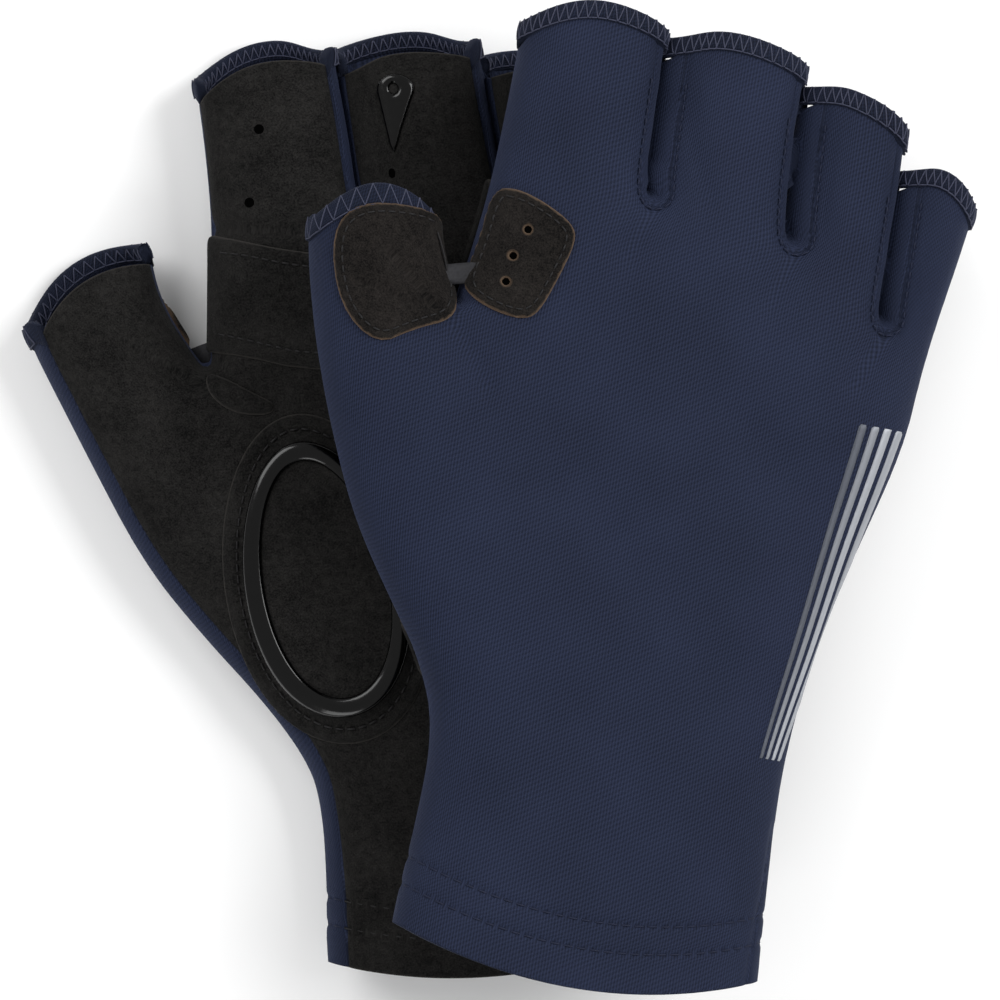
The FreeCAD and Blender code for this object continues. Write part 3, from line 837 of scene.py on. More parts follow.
class Effects:
    """The node groups that more than one finish uses."""

    def __init__(self) -> None:
        """Builds each group once."""
        self.knit = self.knit_group()
        self.nap = self.nap_group()
        self.wear = self.wear_group()

    def start(self, name: str, inputs: dict[str, float], outputs: Sequence[str]
              ) -> tuple[bpy.types.NodeTree, bpy.types.Node, bpy.types.Node]:
        """An empty group with its sockets.

        Args:
            name: The group's name.
            inputs: Each number's name and usual value. Every group also takes a Vector.
            outputs: The names of the values that it gives.

        Returns:
            The group, its input node and its output node.
        """
        tree = bpy.data.node_groups.new(name, "ShaderNodeTree")
        face = tree.interface
        face.new_socket("Vector", in_out="INPUT", socket_type="NodeSocketVector")
        for key, value in inputs.items():
            socket = face.new_socket(key, in_out="INPUT", socket_type="NodeSocketFloat")
            socket.default_value = value
        for key in outputs:
            face.new_socket(key, in_out="OUTPUT", socket_type="NodeSocketFloat")
        return tree, tree.nodes.new("NodeGroupInput"), tree.nodes.new("NodeGroupOutput")

    def knit_group(self) -> bpy.types.NodeTree:
        """Stretch knit: fine upright ribs crossed by a shallow twill, and broad tone changes,
        partly random and partly painted shade of soft folds.
        """
        tree, start, end = self.start("stretch_knit", {"Rib": 0.52, "Twill": 0.36},
                                      ("Height", "Shade"))
        rib = add(tree, "ShaderNodeTexWave", {"Vector": start.outputs["Vector"],
                                              "Scale": start.outputs["Rib"], "Distortion": 0.6,
                                              "Detail": 1.0, "Detail Scale": 0.6})
        turned = add(tree, "ShaderNodeMapping", {"Vector": start.outputs["Vector"],
                                                 "Rotation": (0.0, 0.0, math.radians(58.0))})
        twill = add(tree, "ShaderNodeTexWave", {"Vector": turned.outputs[0],
                                                "Scale": start.outputs["Twill"],
                                                "Distortion": 0.8, "Detail": 1.0})
        vector = start.outputs["Vector"]
        both = calculate(tree, "MULTIPLY_ADD", twill.outputs["Fac"], 0.6, rib.outputs["Fac"])
        height = calculate(tree, "ADD", both, noise(tree, vector, 3.2, 3.0))
        fine = calculate(tree, "MULTIPLY_ADD", height, 0.34, -0.2)
        # The broad noise is partly random tone and partly painted shade: wide patches darker and
        # lighter, standing in for the light and shade of soft folds.
        shade = calculate(tree, "MULTIPLY_ADD", noise(tree, vector, 0.045, 2.0), 0.35, fine)
        tree.links.new(height, end.inputs["Height"])
        tree.links.new(shade, end.inputs["Shade"])
        return tree

    def nap_group(self) -> bpy.types.NodeTree:
        """Brushed suede: short fibres, small clumps and broad rubbed places."""
        tree, start, end = self.start("suede_nap", {"Fibre": 2.6, "Clump": 0.7},
                                      ("Height", "Shade"))
        vector = start.outputs["Vector"]
        fibre = noise(tree, vector, start.outputs["Fibre"], 4.0, Roughness=0.7)
        clump = noise(tree, vector, start.outputs["Clump"], 3.0, Distortion=0.5)
        height = calculate(tree, "MULTIPLY_ADD", clump, 0.9, fibre)
        rubbed = calculate(tree, "MULTIPLY_ADD", noise(tree, vector, 0.09, 2.0), 0.7, -1.45)
        tone = calculate(tree, "MULTIPLY_ADD", fibre, 2.1, rubbed)
        shade = calculate(tree, "MULTIPLY_ADD", clump, 0.8, tone, clamp=True)
        tree.links.new(height, end.inputs["Height"])
        tree.links.new(shade, end.inputs["Shade"])
        return tree

    def wear_group(self) -> bpy.types.NodeTree:
        """Wear along a cut edge: strongest on the edge and broken up along it."""
        tree, start, end = self.start("edge_wear", {"Inward": 9.0, "Reach": 0.8}, ("Mask",))
        broken = noise(tree, start.outputs["Vector"], 0.8, 3.0)
        reach = calculate(tree, "MULTIPLY", start.outputs["Reach"], broken)
        doubled = calculate(tree, "MULTIPLY", reach, 2.0)
        share = calculate(tree, "DIVIDE", start.outputs["Inward"], doubled)
        mask = calculate(tree, "SUBTRACT", 1.0, share, clamp=True)
        tree.links.new(mask, end.inputs["Mask"])
        return tree


@dataclass(frozen=True)
class Finish:
    """What every finish has. A finish builds one material."""

    name: str
    slot: str
    dark: tuple[int, int, int]
    light: tuple[int, int, int]
    rough: float = 0.8
    bump: float = 0.4
    depth: float = 0.05          # of the bump, in millimetres
    specular: float = 0.12       # how strongly it mirrors, where 0.5 is common plastic

    def base(self) -> tuple[bpy.types.Material, bpy.types.NodeTree, bpy.types.Node]:
        """A new material, its tree and its shader."""
        material = bpy.data.materials.new(self.name)
        material.use_nodes = True
        tree = material.node_tree
        shader = tree.nodes["Principled BSDF"]
        shader.inputs["Roughness"].default_value = self.rough
        shader.inputs["Specular IOR Level"].default_value = self.specular
        return material, tree, shader

    def coloured(self, tree: bpy.types.NodeTree, shade: bpy.types.NodeSocket
                 ) -> bpy.types.Node:
        """The finish's two colours mixed by a shade."""
        return add(tree, "ShaderNodeMix",
                   {0: shade, 6: linear(*self.dark), 7: linear(*self.light)}, data_type="RGBA")

    def bumped(self, tree: bpy.types.NodeTree, shader: bpy.types.Node,
               height: bpy.types.NodeSocket) -> None:
        """Raises the surface by a height."""
        bump = add(tree, "ShaderNodeBump", {"Strength": self.bump, "Distance": self.depth * MM,
                                            "Height": height})
        tree.links.new(bump.outputs[0], shader.inputs["Normal"])


@dataclass(frozen=True)
class KnitFinish(Finish):
    """The stretch fabric of the back and of the rolled hems."""

    def build(self, effects: Effects) -> bpy.types.Material:
        """The material."""
        material, tree, shader = self.base()
        place = add(tree, "ShaderNodeUVMap", uv_map="cloth")
        knit = add(tree, "ShaderNodeGroup", node_tree=effects.knit)
        tree.links.new(place.outputs[0], knit.inputs["Vector"])
        knit.inputs["Rib"].default_value = 0.52
        knit.inputs["Twill"].default_value = 0.36
        # Shade brings the knit group's painted shade of soft folds into the colour.
        colour = self.coloured(tree, knit.outputs["Shade"])
        tree.links.new(colour.outputs[2], shader.inputs["Base Color"])
        self.bumped(tree, shader, knit.outputs["Height"])
        shader.inputs["Sheen Weight"].default_value = 0.1
        shader.inputs["Sheen Roughness"].default_value = 0.4
        shader.inputs["Sheen Tint"].default_value = linear(150, 165, 215)
        return material


@dataclass(frozen=True)
class SuedeFinish(Finish):
    """Synthetic suede, which turns brown and grey where its cut edges rub."""

    worn: tuple[int, int, int] = (96, 84, 74)
    reach: float = 0.5           # how far in from a cut edge the wear goes

    def build(self, effects: Effects) -> bpy.types.Material:
        """The material."""
        material, tree, shader = self.base()
        place = add(tree, "ShaderNodeUVMap", uv_map="cloth")
        nap = add(tree, "ShaderNodeGroup", node_tree=effects.nap)
        tree.links.new(place.outputs[0], nap.inputs["Vector"])
        nap.inputs["Fibre"].default_value = 2.6
        nap.inputs["Clump"].default_value = 0.7
        colour = self.coloured(tree, nap.outputs["Shade"])
        inward = add(tree, "ShaderNodeAttribute", attribute_name="inward")
        wear = add(tree, "ShaderNodeGroup", node_tree=effects.wear)
        tree.links.new(place.outputs[0], wear.inputs["Vector"])
        tree.links.new(inward.outputs["Fac"], wear.inputs["Inward"])
        wear.inputs["Reach"].default_value = self.reach
        worn = add(tree, "ShaderNodeMix", {0: wear.outputs["Mask"], 6: colour.outputs[2],
                                           7: linear(*self.worn)}, data_type="RGBA")
        tree.links.new(worn.outputs[2], shader.inputs["Base Color"])
        self.bumped(tree, shader, nap.outputs["Height"])
        shader.inputs["Sheen Weight"].default_value = 0.04
        shader.inputs["Sheen Roughness"].default_value = 0.6
        shader.inputs["Sheen Tint"].default_value = linear(190, 190, 190)
        return material


@dataclass(frozen=True)
class SmoothFinish(Finish):
    """Thread, silicone, print, elastic and foam: a fine grain over the whole piece."""

    grain: float = 2500.0        # of the noise, per metre
    metal: float = 0.0
    coat: float = 0.0

    def build(self, effects: Effects) -> bpy.types.Material:
        """The material."""
        material, tree, shader = self.base()
        place = add(tree, "ShaderNodeTexCoord")
        grain = noise(tree, place.outputs["Object"], self.grain, 3.0)
        colour = self.coloured(tree, grain)
        tree.links.new(colour.outputs[2], shader.inputs["Base Color"])
        rough = calculate(tree, "MULTIPLY_ADD", grain, 0.15, self.rough - 0.07)
        tree.links.new(rough, shader.inputs["Roughness"])
        shader.inputs["Metallic"].default_value = self.metal
        shader.inputs["Coat Weight"].default_value = self.coat
        shader.inputs["Coat Roughness"].default_value = 0.12
        self.bumped(tree, shader, grain)
        return material


@dataclass(frozen=True)
class PrintFinish(SmoothFinish):
    """The reflective print, which pales from its outer stripe to its inner one."""

    def build(self, effects: Effects) -> bpy.types.Material:
        """The material."""
        material, tree, shader = self.base()
        place = add(tree, "ShaderNodeTexCoord")
        beads = add(tree, "ShaderNodeTexVoronoi", {"Vector": place.outputs["Object"],
                                                   "Scale": self.grain})
        tone = add(tree, "ShaderNodeAttribute", attribute_name="tone")
        colour = self.coloured(tree, tone.outputs["Fac"])
        tree.links.new(colour.outputs[2], shader.inputs["Base Color"])
        shader.inputs["Metallic"].default_value = self.metal
        self.bumped(tree, shader, beads.outputs["Distance"])
        return material


class Finishes:
    """Every material of the pair, built once."""

    def __init__(self) -> None:
        """Builds the materials."""
        effects = Effects()
        self.knit = KnitFinish("navy_knit", "stretch_fabric", (17, 21, 32), (48, 55, 78),
                               0.75, 0.8, 0.1).build(effects)
        self.hem = KnitFinish("navy_hem", "hem_fabric", (12, 14, 22), (38, 44, 62),
                              0.78, 0.8, 0.1).build(effects)
        self.suede = SuedeFinish("black_suede", "palm_suede", (15, 15, 15), (47, 46, 45),
                                 0.95, 0.9, 0.16, 0.08, (56, 54, 52), 0.35).build(effects)
        self.patch = SuedeFinish("worn_suede", "patch_suede", (15, 14, 14), (47, 44, 42),
                                 0.95, 0.8, 0.14, 0.08, (96, 80, 66), 0.5).build(effects)
        self.silicone = SmoothFinish("grip_silicone", "silicone", (4, 4, 4), (10, 10, 10),
                                     0.14, 0.3, 0.05, 0.3, 700.0, 0.0, 0.16).build(effects)
        self.navy_thread = SmoothFinish("navy_thread", "thread", (14, 17, 28), (40, 46, 68),
                                        0.6, 0.5, 0.03, 0.2, 3500.0).build(effects)
        self.hem_thread = SmoothFinish("hem_thread", "thread", (30, 33, 46), (72, 75, 94),
                                       0.55, 0.5, 0.03, 0.2, 3500.0).build(effects)
        self.black_thread = SmoothFinish("black_thread", "thread", (10, 10, 11), (44, 43, 44),
                                         0.55, 0.5, 0.03, 0.2, 3500.0).build(effects)
        self.elastic = SmoothFinish("grey_elastic", "web_elastic", (30, 30, 32), (56, 56, 59),
                                    0.7, 0.5, 0.05, 0.2, 1800.0).build(effects)
        self.foam = SmoothFinish("pad_foam", "foam", (30, 30, 32), (62, 62, 64),
                                 0.95, 0.6, 0.2, 0.1, 1500.0).build(effects)
        self.print = PrintFinish("reflective_print", "reflective_print", (58, 62, 72),
                                 (158, 161, 167), 0.45, 0.3, 0.02, 0.4, 6000.0, 0.3).build(effects)
        # Near black: painted shade for the inside of the punched holes.
        self.void = SmoothFinish("vent_painted_shade", "palm_suede", (3, 3, 3), (9, 9, 9),
                                 0.95, 0.3, 0.05, 0.02, 1500.0).build(effects)


# ---- the glove ------------------------------------------------------------------------

@dataclass(frozen=True)
class Applique:
    """A flat shape laid on the cloth: a patch, a band, a print or a silicone grip."""

    name: str
    node: str | None             # the CAD node that it stands for
    slot: str
    outline: np.ndarray
    thickness: float = 0.9
    lift: float = 0.1
    round: float = 0.7           # how far in from its edge it reaches its full thickness
    cell: float = 0.6
    holes: tuple[tuple[float, float, float], ...] = ()
    sink: float = 0.5
    margin: float = 0.35         # the least distance from the glove's silhouette

    def sheet(self, form: Form) -> Cloth:
        """The shape as a flat sheet of fine squares, cut along its outline and its holes."""
        low = self.outline.min(axis=0) - self.cell
        high = self.outline.max(axis=0) + self.cell
        xs = np.arange(low[0], high[0] + self.cell, self.cell)
        ys = np.arange(low[1], high[1] + self.cell, self.cell)
        x, y = np.meshgrid(xs, ys)
        points = np.stack((x.ravel(), y.ravel(), np.zeros(x.size)), axis=1)
        rows, columns = x.shape
        first = (np.arange(rows - 1)[:, None] * columns + np.arange(columns - 1)).ravel()
        quads = np.stack((first, first + 1, first + columns + 1, first + columns), axis=1)
        cloth = Cloth(points, list(map(tuple, quads.tolist())))
        cloth = cloth.cut(lambda p: outside_loop(p[:, 0], p[:, 1], self.outline))
        cloth = cloth.cut(lambda p: self.margin - form.edge.at(p[:, 0], p[:, 1]))
        for cx, cy, radius in self.holes:
            cloth = cloth.cut(lambda p, cx=cx, cy=cy, radius=radius:
                              radius - np.hypot(p[:, 0] - cx, p[:, 1] - cy))
        return cloth

    def inward(self, points: np.ndarray) -> np.ndarray:
        """How far in from the nearest cut edge each point lies."""
        away = -outside_loop(points[:, 0], points[:, 1], self.outline)
        for cx, cy, radius in self.holes:
            away = np.minimum(away, np.hypot(points[:, 0] - cx, points[:, 1] - cy) - radius)
        return np.maximum(away, 0.0)

    def solid(self, form: Form, upper: float, extra: Callable[[np.ndarray], np.ndarray] | None
              = None) -> tuple[Cloth, np.ndarray]:
        """The shape laid on a face of the form, with its edge rounded.

        Args:
            form: The glove's body.
            upper: 1 for the upper face, -1 for the lower one.
            extra: More height by the distance in from the edge, as on a pad.

        Returns:
            The closed solid, and each point's distance in from the edge.
        """
        sheet = self.sheet(form)
        inward = self.inward(sheet.points)
        share = np.minimum(inward / self.round, 1.0)
        rise = self.thickness * (0.25 + 0.75 * np.sqrt(1.0 - (1.0 - share) ** 2))
        if extra is not None:
            rise = rise + extra(inward)
        flat = sheet.points[:, :2]
        outer = form.skin(flat, upper, self.lift + rise)
        inner = form.skin(flat, upper, np.full(len(flat), self.lift - self.sink))
        solid = sheet.walled(outer, inner)
        if upper < 0.0:
            solid.faces = [face[::-1] for face in solid.faces]
        return solid, np.concatenate((inward, np.zeros(len(inward))))

    def inset(self, by: float, pitch: float) -> np.ndarray:
        """Evenly spaced places on a line inside the outline."""
        loop = evenly(np.vstack((self.outline, self.outline[:1])), 0.5)[:-1]
        along = np.roll(loop, -1, axis=0) - np.roll(loop, 1, axis=0)
        side = np.stack((-along[:, 1], along[:, 0]), axis=1)
        side /= np.linalg.norm(side, axis=1)[:, None]
        probe = loop + side * 0.3
        if outside_loop(probe[:, 0], probe[:, 1], self.outline).mean() > 0.0:
            side = -side
        moved = loop + side * by
        away = -outside_loop(moved[:, 0], moved[:, 1], self.outline)
        moved = moved[away > by * 0.9]
        return evenly(np.vstack((moved, moved[:1])), pitch)


@dataclass
class Seams:
    """Sizes of the cloth and of its seams, in millimetres."""

    wall: float = 1.2
    palm_step: float = 5.0       # how much shorter the suede is than the back at a rim
    fourchette: float = 3.0      # width of the strip on each side of a slit
    groove: float = 0.35
    groove_width: float = 0.8
    palm_proud: float = 0.25     # how far the suede stands over the knit
    row_pitch: float = 2.7
    facing_depth: float = 15.0


@dataclass(frozen=True)
class PadSizes:
    """Sizes of the palm pad, in millimetres. An oval is given by its two half lengths."""

    centre: tuple[float, float] = (-28.0, 77.0)
    turn: float = 5.0            # degrees that the pad leans towards the thumb
    cover: tuple[float, float] = (20.5, 33.8)
    foam: tuple[float, float] = (15.5, 28.8)
    seam: float = 3.0            # how far inside the cover's edge it is stitched
    seam_depth: float = 0.3
    rise: float = 1.5            # how far the foam lifts the cover
    bead: tuple[tuple[float, float, float], ...] = (     # two half lengths and a height
        (16.2, 28.2, 2.0), (16.1, 28.1, 2.8), (15.5, 27.5, 3.2), (14.2, 26.2, 3.3),
        (12.9, 24.9, 3.2), (12.3, 24.3, 2.8), (12.2, 24.2, 2.0))


@dataclass(frozen=True)
class VentSizes:
    """Sizes of a punched hole, in millimetres."""

    sides: int = 14
    profile: tuple[tuple[float, float], ...] = (         # radius and height of each ring
        (1.05, 0.15), (0.95, 0.36), (0.75, 0.4), (0.6, 0.31))
    palm: Plan = ((-29.8, 168.6), (-33.6, 154.2), (-5.6, 156.4), (24.0, 146.0))
    patch: tuple[tuple[float, float, float], ...] = (    # place and radius in the index patch
        (-34.6, 139.6, 0.75), (-36.6, 134.0, 0.75), (-37.2, 128.7, 0.75))


@dataclass(frozen=True)
class StripeSizes:
    """Sizes of the reflective stripes, in millimetres."""

    tones: tuple[float, ...] = (0.8, 0.9, 0.5, 0.1)      # one for each stripe
    top: tuple[float, float, float] = (47.6, 2.7, 1.6)   # place, step and width
    foot: tuple[float, float, float] = (33.9, 1.35, 0.65)
    ends: tuple[float, float] = (113.0, 44.0)


@dataclass
class Glove:
    """One glove: its panels, hems, cuff, patches, pad, grips, stripes and thread."""

    side: Side
    plan: HandPlan
    palm_up: bool
    creases: Sequence[Crease]
    finishes: Finishes
    tree: ThreadTree
    seed: int
    lean: float
    seams: Seams = field(default_factory=Seams)
    pad_sizes: PadSizes = PadSizes()
    vent_sizes: VentSizes = VentSizes()
    stripe_sizes: StripeSizes = StripeSizes()
    cell: float = 0.75

    def __post_init__(self) -> None:
        """Works out the body that every piece lies on."""
        self.form = Form(self.plan, self.creases, self.seed)
        self.wearer = Wearer(self.side, self.form, self.lean)
        self.back = -1.0 if self.palm_up else 1.0
        self.navy = Stitches()
        self.hem_rows = Stitches()
        self.black = Stitches()

    # -- the panels --

    def band(self, x: np.ndarray, y: np.ndarray) -> np.ndarray:
        """How far the knit wraps on to the palm at each place."""
        width = 3.3 + 0.9 * np.clip((30.0 - y) / 25.0, 0.0, 1.0)
        thumb_side = self.plan.web[0] + self.plan.web_lean * (y - self.plan.web[1])
        walls = [np.full(x.shape, -42.0)]
        walls += [x0 + (x1 - x0) * (y - y0) / (y1 - y0)
                  for (x0, y0), (x1, y1) in self.plan.slits]
        narrow = np.zeros(x.shape)
        for wall in walls:
            near = np.clip((9.0 - (x - wall)) / 4.0, 0.0, 1.0) * (x >= wall)
            narrow = np.maximum(narrow, near * np.clip((y - 124.0) / 8.0, 0.0, 1.0))
        around_web = np.clip((x - thumb_side + 15.0) / 4.0, 0.0, 1.0) * (x < -40.0)
        narrow = np.maximum(narrow, around_web * np.clip((y - 108.0) / 8.0, 0.0, 1.0))
        return width - (width - 0.45) * narrow

    def towards_palm(self, points: np.ndarray) -> np.ndarray:
        """Above zero on the suede's share of the surface, in millimetres from the seam."""
        x, y, z = points.T
        edge = np.maximum(self.form.edge.at(x, y), 0.0)
        return np.where(z * self.back < 0.0, edge, -edge) - self.band(x, y)

    def past_wrist(self, points: np.ndarray) -> np.ndarray:
        """How far each point lies past the wrist's edge."""
        return -self.plan.wrist.beyond(points[:, 0], points[:, 1])

    def past_rims(self, points: np.ndarray) -> np.ndarray:
        """How far each point lies past the rim of its stall."""
        return self.plan.past_rims(points[:, 0], points[:, 1])

    def hull(self) -> Cloth:
        """The closed outer surface of the filled glove, cut open at the wrist."""
        low = np.array((-94.0, -11.0, -12.0))
        high = np.array((62.0, 194.0, 12.0))
        xs, ys, zs = (np.arange(a, b, self.cell) for a, b in zip(low, high))
        y, x = np.meshgrid(ys, xs)
        square = self.form.square.at(x, y)
        values = zs[None, None, :] ** 2 - square[..., None]
        return surface_net(values, low, self.cell).cut(self.past_wrist)

    def panel(self, name: str, cloth: Cloth, seam: np.ndarray, material: bpy.types.Material,
              nodes: Sequence[str], proud: float = 0.0,
              inward: np.ndarray | None = None) -> bpy.types.Object:
        """One panel with its thickness, drawn in along its seams.

        Args:
            name: The piece's name without its side.
            cloth: Its outer surface before any wave or groove.
            seam: The distance of each point from the nearest seam.
            material: Its finish.
            nodes: The CAD nodes that it stands for, without their side.
            proud: How far it stands over its neighbours.
            inward: The distance of each point from a cut edge.

        Returns:
            The object.
        """
        form, seams = self.form, self.seams
        normals = form.normals(cloth.points)
        draw = seams.groove * np.exp(-(seam / seams.groove_width) ** 2)
        lift = form.folds(cloth.points) - draw + proud
        outer = cloth.points + normals * lift[:, None]
        inner = outer - normals * (seams.wall + proud)
        solid = cloth.walled(outer, inner)
        if inward is None:
            inward = np.full(len(cloth.points), 9.0)
        thing = self.wearer.piece(name, solid, material, inward=np.tile(inward, 2))
        return self.known(thing, nodes)

    def known(self, thing: bpy.types.Object, nodes: Sequence[str]
              ) -> bpy.types.Object:
        """Hides the CAD nodes that a piece stands for, and logs its faces."""
        if nodes:
            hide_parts(*[f"{self.side.value}_{node}" for node in nodes])
        LOG.info("%s: %d faces", thing.name, len(thing.data.polygons))
        return thing

    def panels(self) -> None:
        """The palm, the back and the three strips between the fingers."""
        seams, finishes = self.seams, self.finishes
        hull = self.hull()
        palm = hull.cut(lambda p: -self.towards_palm(p))
        palm = palm.cut(lambda p: self.past_rims(p) + seams.palm_step)
        rest = hull.cut(self.towards_palm)
        inward = np.minimum(-(self.past_rims(palm.points) + seams.palm_step),
                            -self.past_wrist(palm.points))
        self.panel("palm", palm, np.abs(self.towards_palm(palm.points)), finishes.suede,
                   ["palm_panel"], seams.palm_proud, np.maximum(inward, 0.0))

        def under_hem(p: np.ndarray) -> np.ndarray:
            """How far each point reaches past where the knit ends under its hem."""
            by_seam = np.clip(1.0 + self.towards_palm(p) / 4.0, 0.0, 1.0)
            return self.past_rims(p) + 3.0 + 2.4 * by_seam ** 2

        rest = rest.cut(under_hem)
        names = [rim.name for rim in self.plan.fingers]
        for first, second, slit in zip(names, names[1:], self.form.slits):
            def beside(p: np.ndarray, slit: Grid = slit) -> np.ndarray:
                """How far each point lies outside the strip."""
                return slit.at(p[:, 0], p[:, 1]) - seams.fourchette
            strip = rest.cut(beside)
            rest = rest.cut(lambda p: -beside(p))
            joint = f"fourchette_{first}_{second}"
            self.panel(joint, strip, np.abs(beside(strip.points)), finishes.knit,
                       [joint])
        seam = np.abs(self.towards_palm(rest.points))
        for slit in self.form.slits:
            away = np.abs(slit.at(rest.points[:, 0], rest.points[:, 1]) - seams.fourchette)
            seam = np.minimum(seam, away)
        self.panel("back", rest, seam, finishes.knit, ["back_panel"])

    # -- hems, cuff and thread --

    def navy_turns(self, rim: Rim, pitch: float) -> np.ndarray:
        """Evenly spaced angles round the knit's share of a rim."""
        width = math.hypot(rim.right[0] - rim.left[0], rim.right[1] - rim.left[1])
        wide, slim = (math.acos(1.0 - 2.0 * wrap / width) for wrap in (3.2, 0.3))
        first, last = (wide, slim) if rim is self.plan.thumb else (slim, wide)
        turns = np.linspace(-first, math.pi + last, 260)
        line, _ = self.form.around(rim, turns, -1.5, 0.0, self.back)
        return evenly(np.column_stack((line, turns)), pitch)[:, 3]

    def swept_back(self, rim: Rim, turns: np.ndarray) -> np.ndarray:
        """How far the hem stands back towards the palm's shorter rim at each of its turns."""
        count = np.arange(len(turns))
        from_slim, from_wide = count, count[::-1]
        if rim is self.plan.thumb:
            from_slim, from_wide = from_wide, from_slim
        wide = 3.6 * (1.0 - np.minimum(from_wide / 6.0, 1.0)) ** 2
        return wide + 1.5 * (1.0 - np.minimum(from_slim / 3.0, 1.0)) ** 2

    def hem(self, rim: Rim) -> None:
        """The rolled and overlocked edge of one stall."""
        profile = ((-rim.depth - 0.5, -0.3), (-rim.depth - 0.2, 0.3), (-rim.depth + 0.4, 0.55),
                   (-rim.depth * 0.7, 0.68), (-rim.depth * 0.4, 0.72), (-0.7, 0.66),
                   (-0.2, 0.5), (0.12, 0.1), (0.2, -0.5), (0.05, -1.2), (-0.4, -1.65),
                   (-1.4, -1.8), (-rim.depth, -1.75), (-rim.depth - 0.4, -1.4))
        turns = self.navy_turns(rim, 0.75)
        ends = np.minimum(np.arange(len(turns)), np.arange(len(turns))[::-1])
        full = 0.2 + 0.8 * np.minimum(ends / 5.0, 1.0)
        swept_back = self.swept_back(rim, turns)
        rings = [self.form.around(rim, turns, beyond, np.where(lift > 0.0, lift * full, lift),
                                  self.back, swept_back)[0] for beyond, lift in profile]
        cloth = swept(rings, closed=False, flip=self.back < 0.0)
        thing = self.wearer.piece(rim.name + "_hem", cloth, self.finishes.hem)
        self.known(thing, [rim.name + "_hem"])
        holes = self.navy_turns(rim, rim.pitch)
        between = (holes[:-1] + holes[1:]) / 2.0
        tops = np.append(between, holes[-1])
        for edge, rim_side, height, turned in ((-rim.depth, 0.05, 0.62, 1.0),
                                               (0.4 - rim.depth, -0.5, -1.84, -1.0)):
            low, facing = self.form.around(rim, holes, edge, height, self.back,
                                           np.interp(holes, turns, swept_back))
            high, _ = self.form.around(rim, tops, rim_side, height, self.back,
                                       np.interp(tops, turns, swept_back))
            self.hem_rows.zigzag(low[1:-1], high[1:-1], turned * facing[1:-1])

    def cuff(self) -> None:
        """The turned-in facing of the wrist and the two rows that hold it."""
        wrist, seams = self.plan.wrist, self.seams
        turns = np.linspace(0.0, 2.0 * math.pi, 241)[:-1]
        depth = seams.facing_depth
        profile = ((0.15, -0.35), (-0.15, -0.9), (-0.1, -1.9), (0.5, -2.5), (3.0, -2.55),
                   (8.0, -2.45), (depth - 0.4, -2.4), (depth, -2.1), (depth, -1.3),
                   (8.0, -1.25), (1.0, -1.2))
        rings = [self.form.around(wrist, turns, beyond, lift, self.back)[0]
                 for beyond, lift in profile]
        cloth = swept(rings, closed=True, flip=self.back > 0.0)
        thing = self.wearer.piece("cuff_hem", cloth, self.finishes.hem)
        self.known(thing, ["cuff_hem"])
        for height in Form.CUFF_ROWS:
            dense = np.linspace(0.0, 2.0 * math.pi, 500)
            line, facing = self.form.around(wrist, dense, height, 0.1, self.back)
            row = evenly(np.hstack((line, facing)), seams.row_pitch)
            towards = self.towards_palm(row[:, :3])
            for stitches, keep in ((self.navy, towards <= 0.0), (self.black, towards > 0.0)):
                starts, ends = row[:-1][keep[:-1]], row[1:][keep[:-1]]
                middle, half = (starts + ends) / 2.0, (ends - starts) * 0.34
                stitches.between((middle - half)[:, :3], (middle + half)[:, :3], middle[:, 3:])

    def topstitch(self, stitches: Stitches, path: Plan | np.ndarray, upper: float,
                  pitch: float = 2.2, lift: float = 0.15, share: float = 0.68) -> None:
        """Sews a row along a path of the plan.

        Args:
            stitches: Where the row's stitches are gathered.
            path: The row's places.
            upper: 1 for the upper face, -1 for the lower one.
            pitch: The distance between two needle holes.
            lift: How far over the form's face the cloth stands there.
            share: How much of each step shows as thread.
        """
        flat = evenly(np.array(path, float), pitch)
        flat = flat[self.form.edge.at(flat[:, 0], flat[:, 1]) > 1.0]
        points = self.form.skin(flat, upper, np.full(len(flat), lift))
        out = self.form.normals(points)
        stitches.row(points, out, share)

    def slit_rows(self) -> None:
        """The rows that hold the strips between the fingers, on the back."""
        for (x0, y0), (x1, y1) in self.plan.slits:
            past = self.seams.fourchette + 0.7
            top = y1 - 9.0
            lean = (x1 - x0) / (y1 - y0)
            left = [(x0 - past + lean * (y - y0), y) for y in np.linspace(top, y0, 12)]
            foot = [(x0 + past * math.sin(t), y0 - past * math.cos(t))
                    for t in np.linspace(-1.4, 1.4, 9)]
            right = [(x0 + past + lean * (y - y0), y) for y in np.linspace(y0, top, 12)]
            self.topstitch(self.navy, smooth(left + foot + right, 1), self.back, 2.0, 0.1)

    # -- what is laid on the cloth --

    def lay(self, shape: Applique, material: bpy.types.Material, upper: float
            ) -> bpy.types.Object:
        """Lays one shape on a face of the glove."""
        solid, inward = shape.solid(self.form, upper)
        thing = self.wearer.piece(shape.name, solid, material, inward=inward)
        return self.known(thing, [shape.node] if shape.node else [])

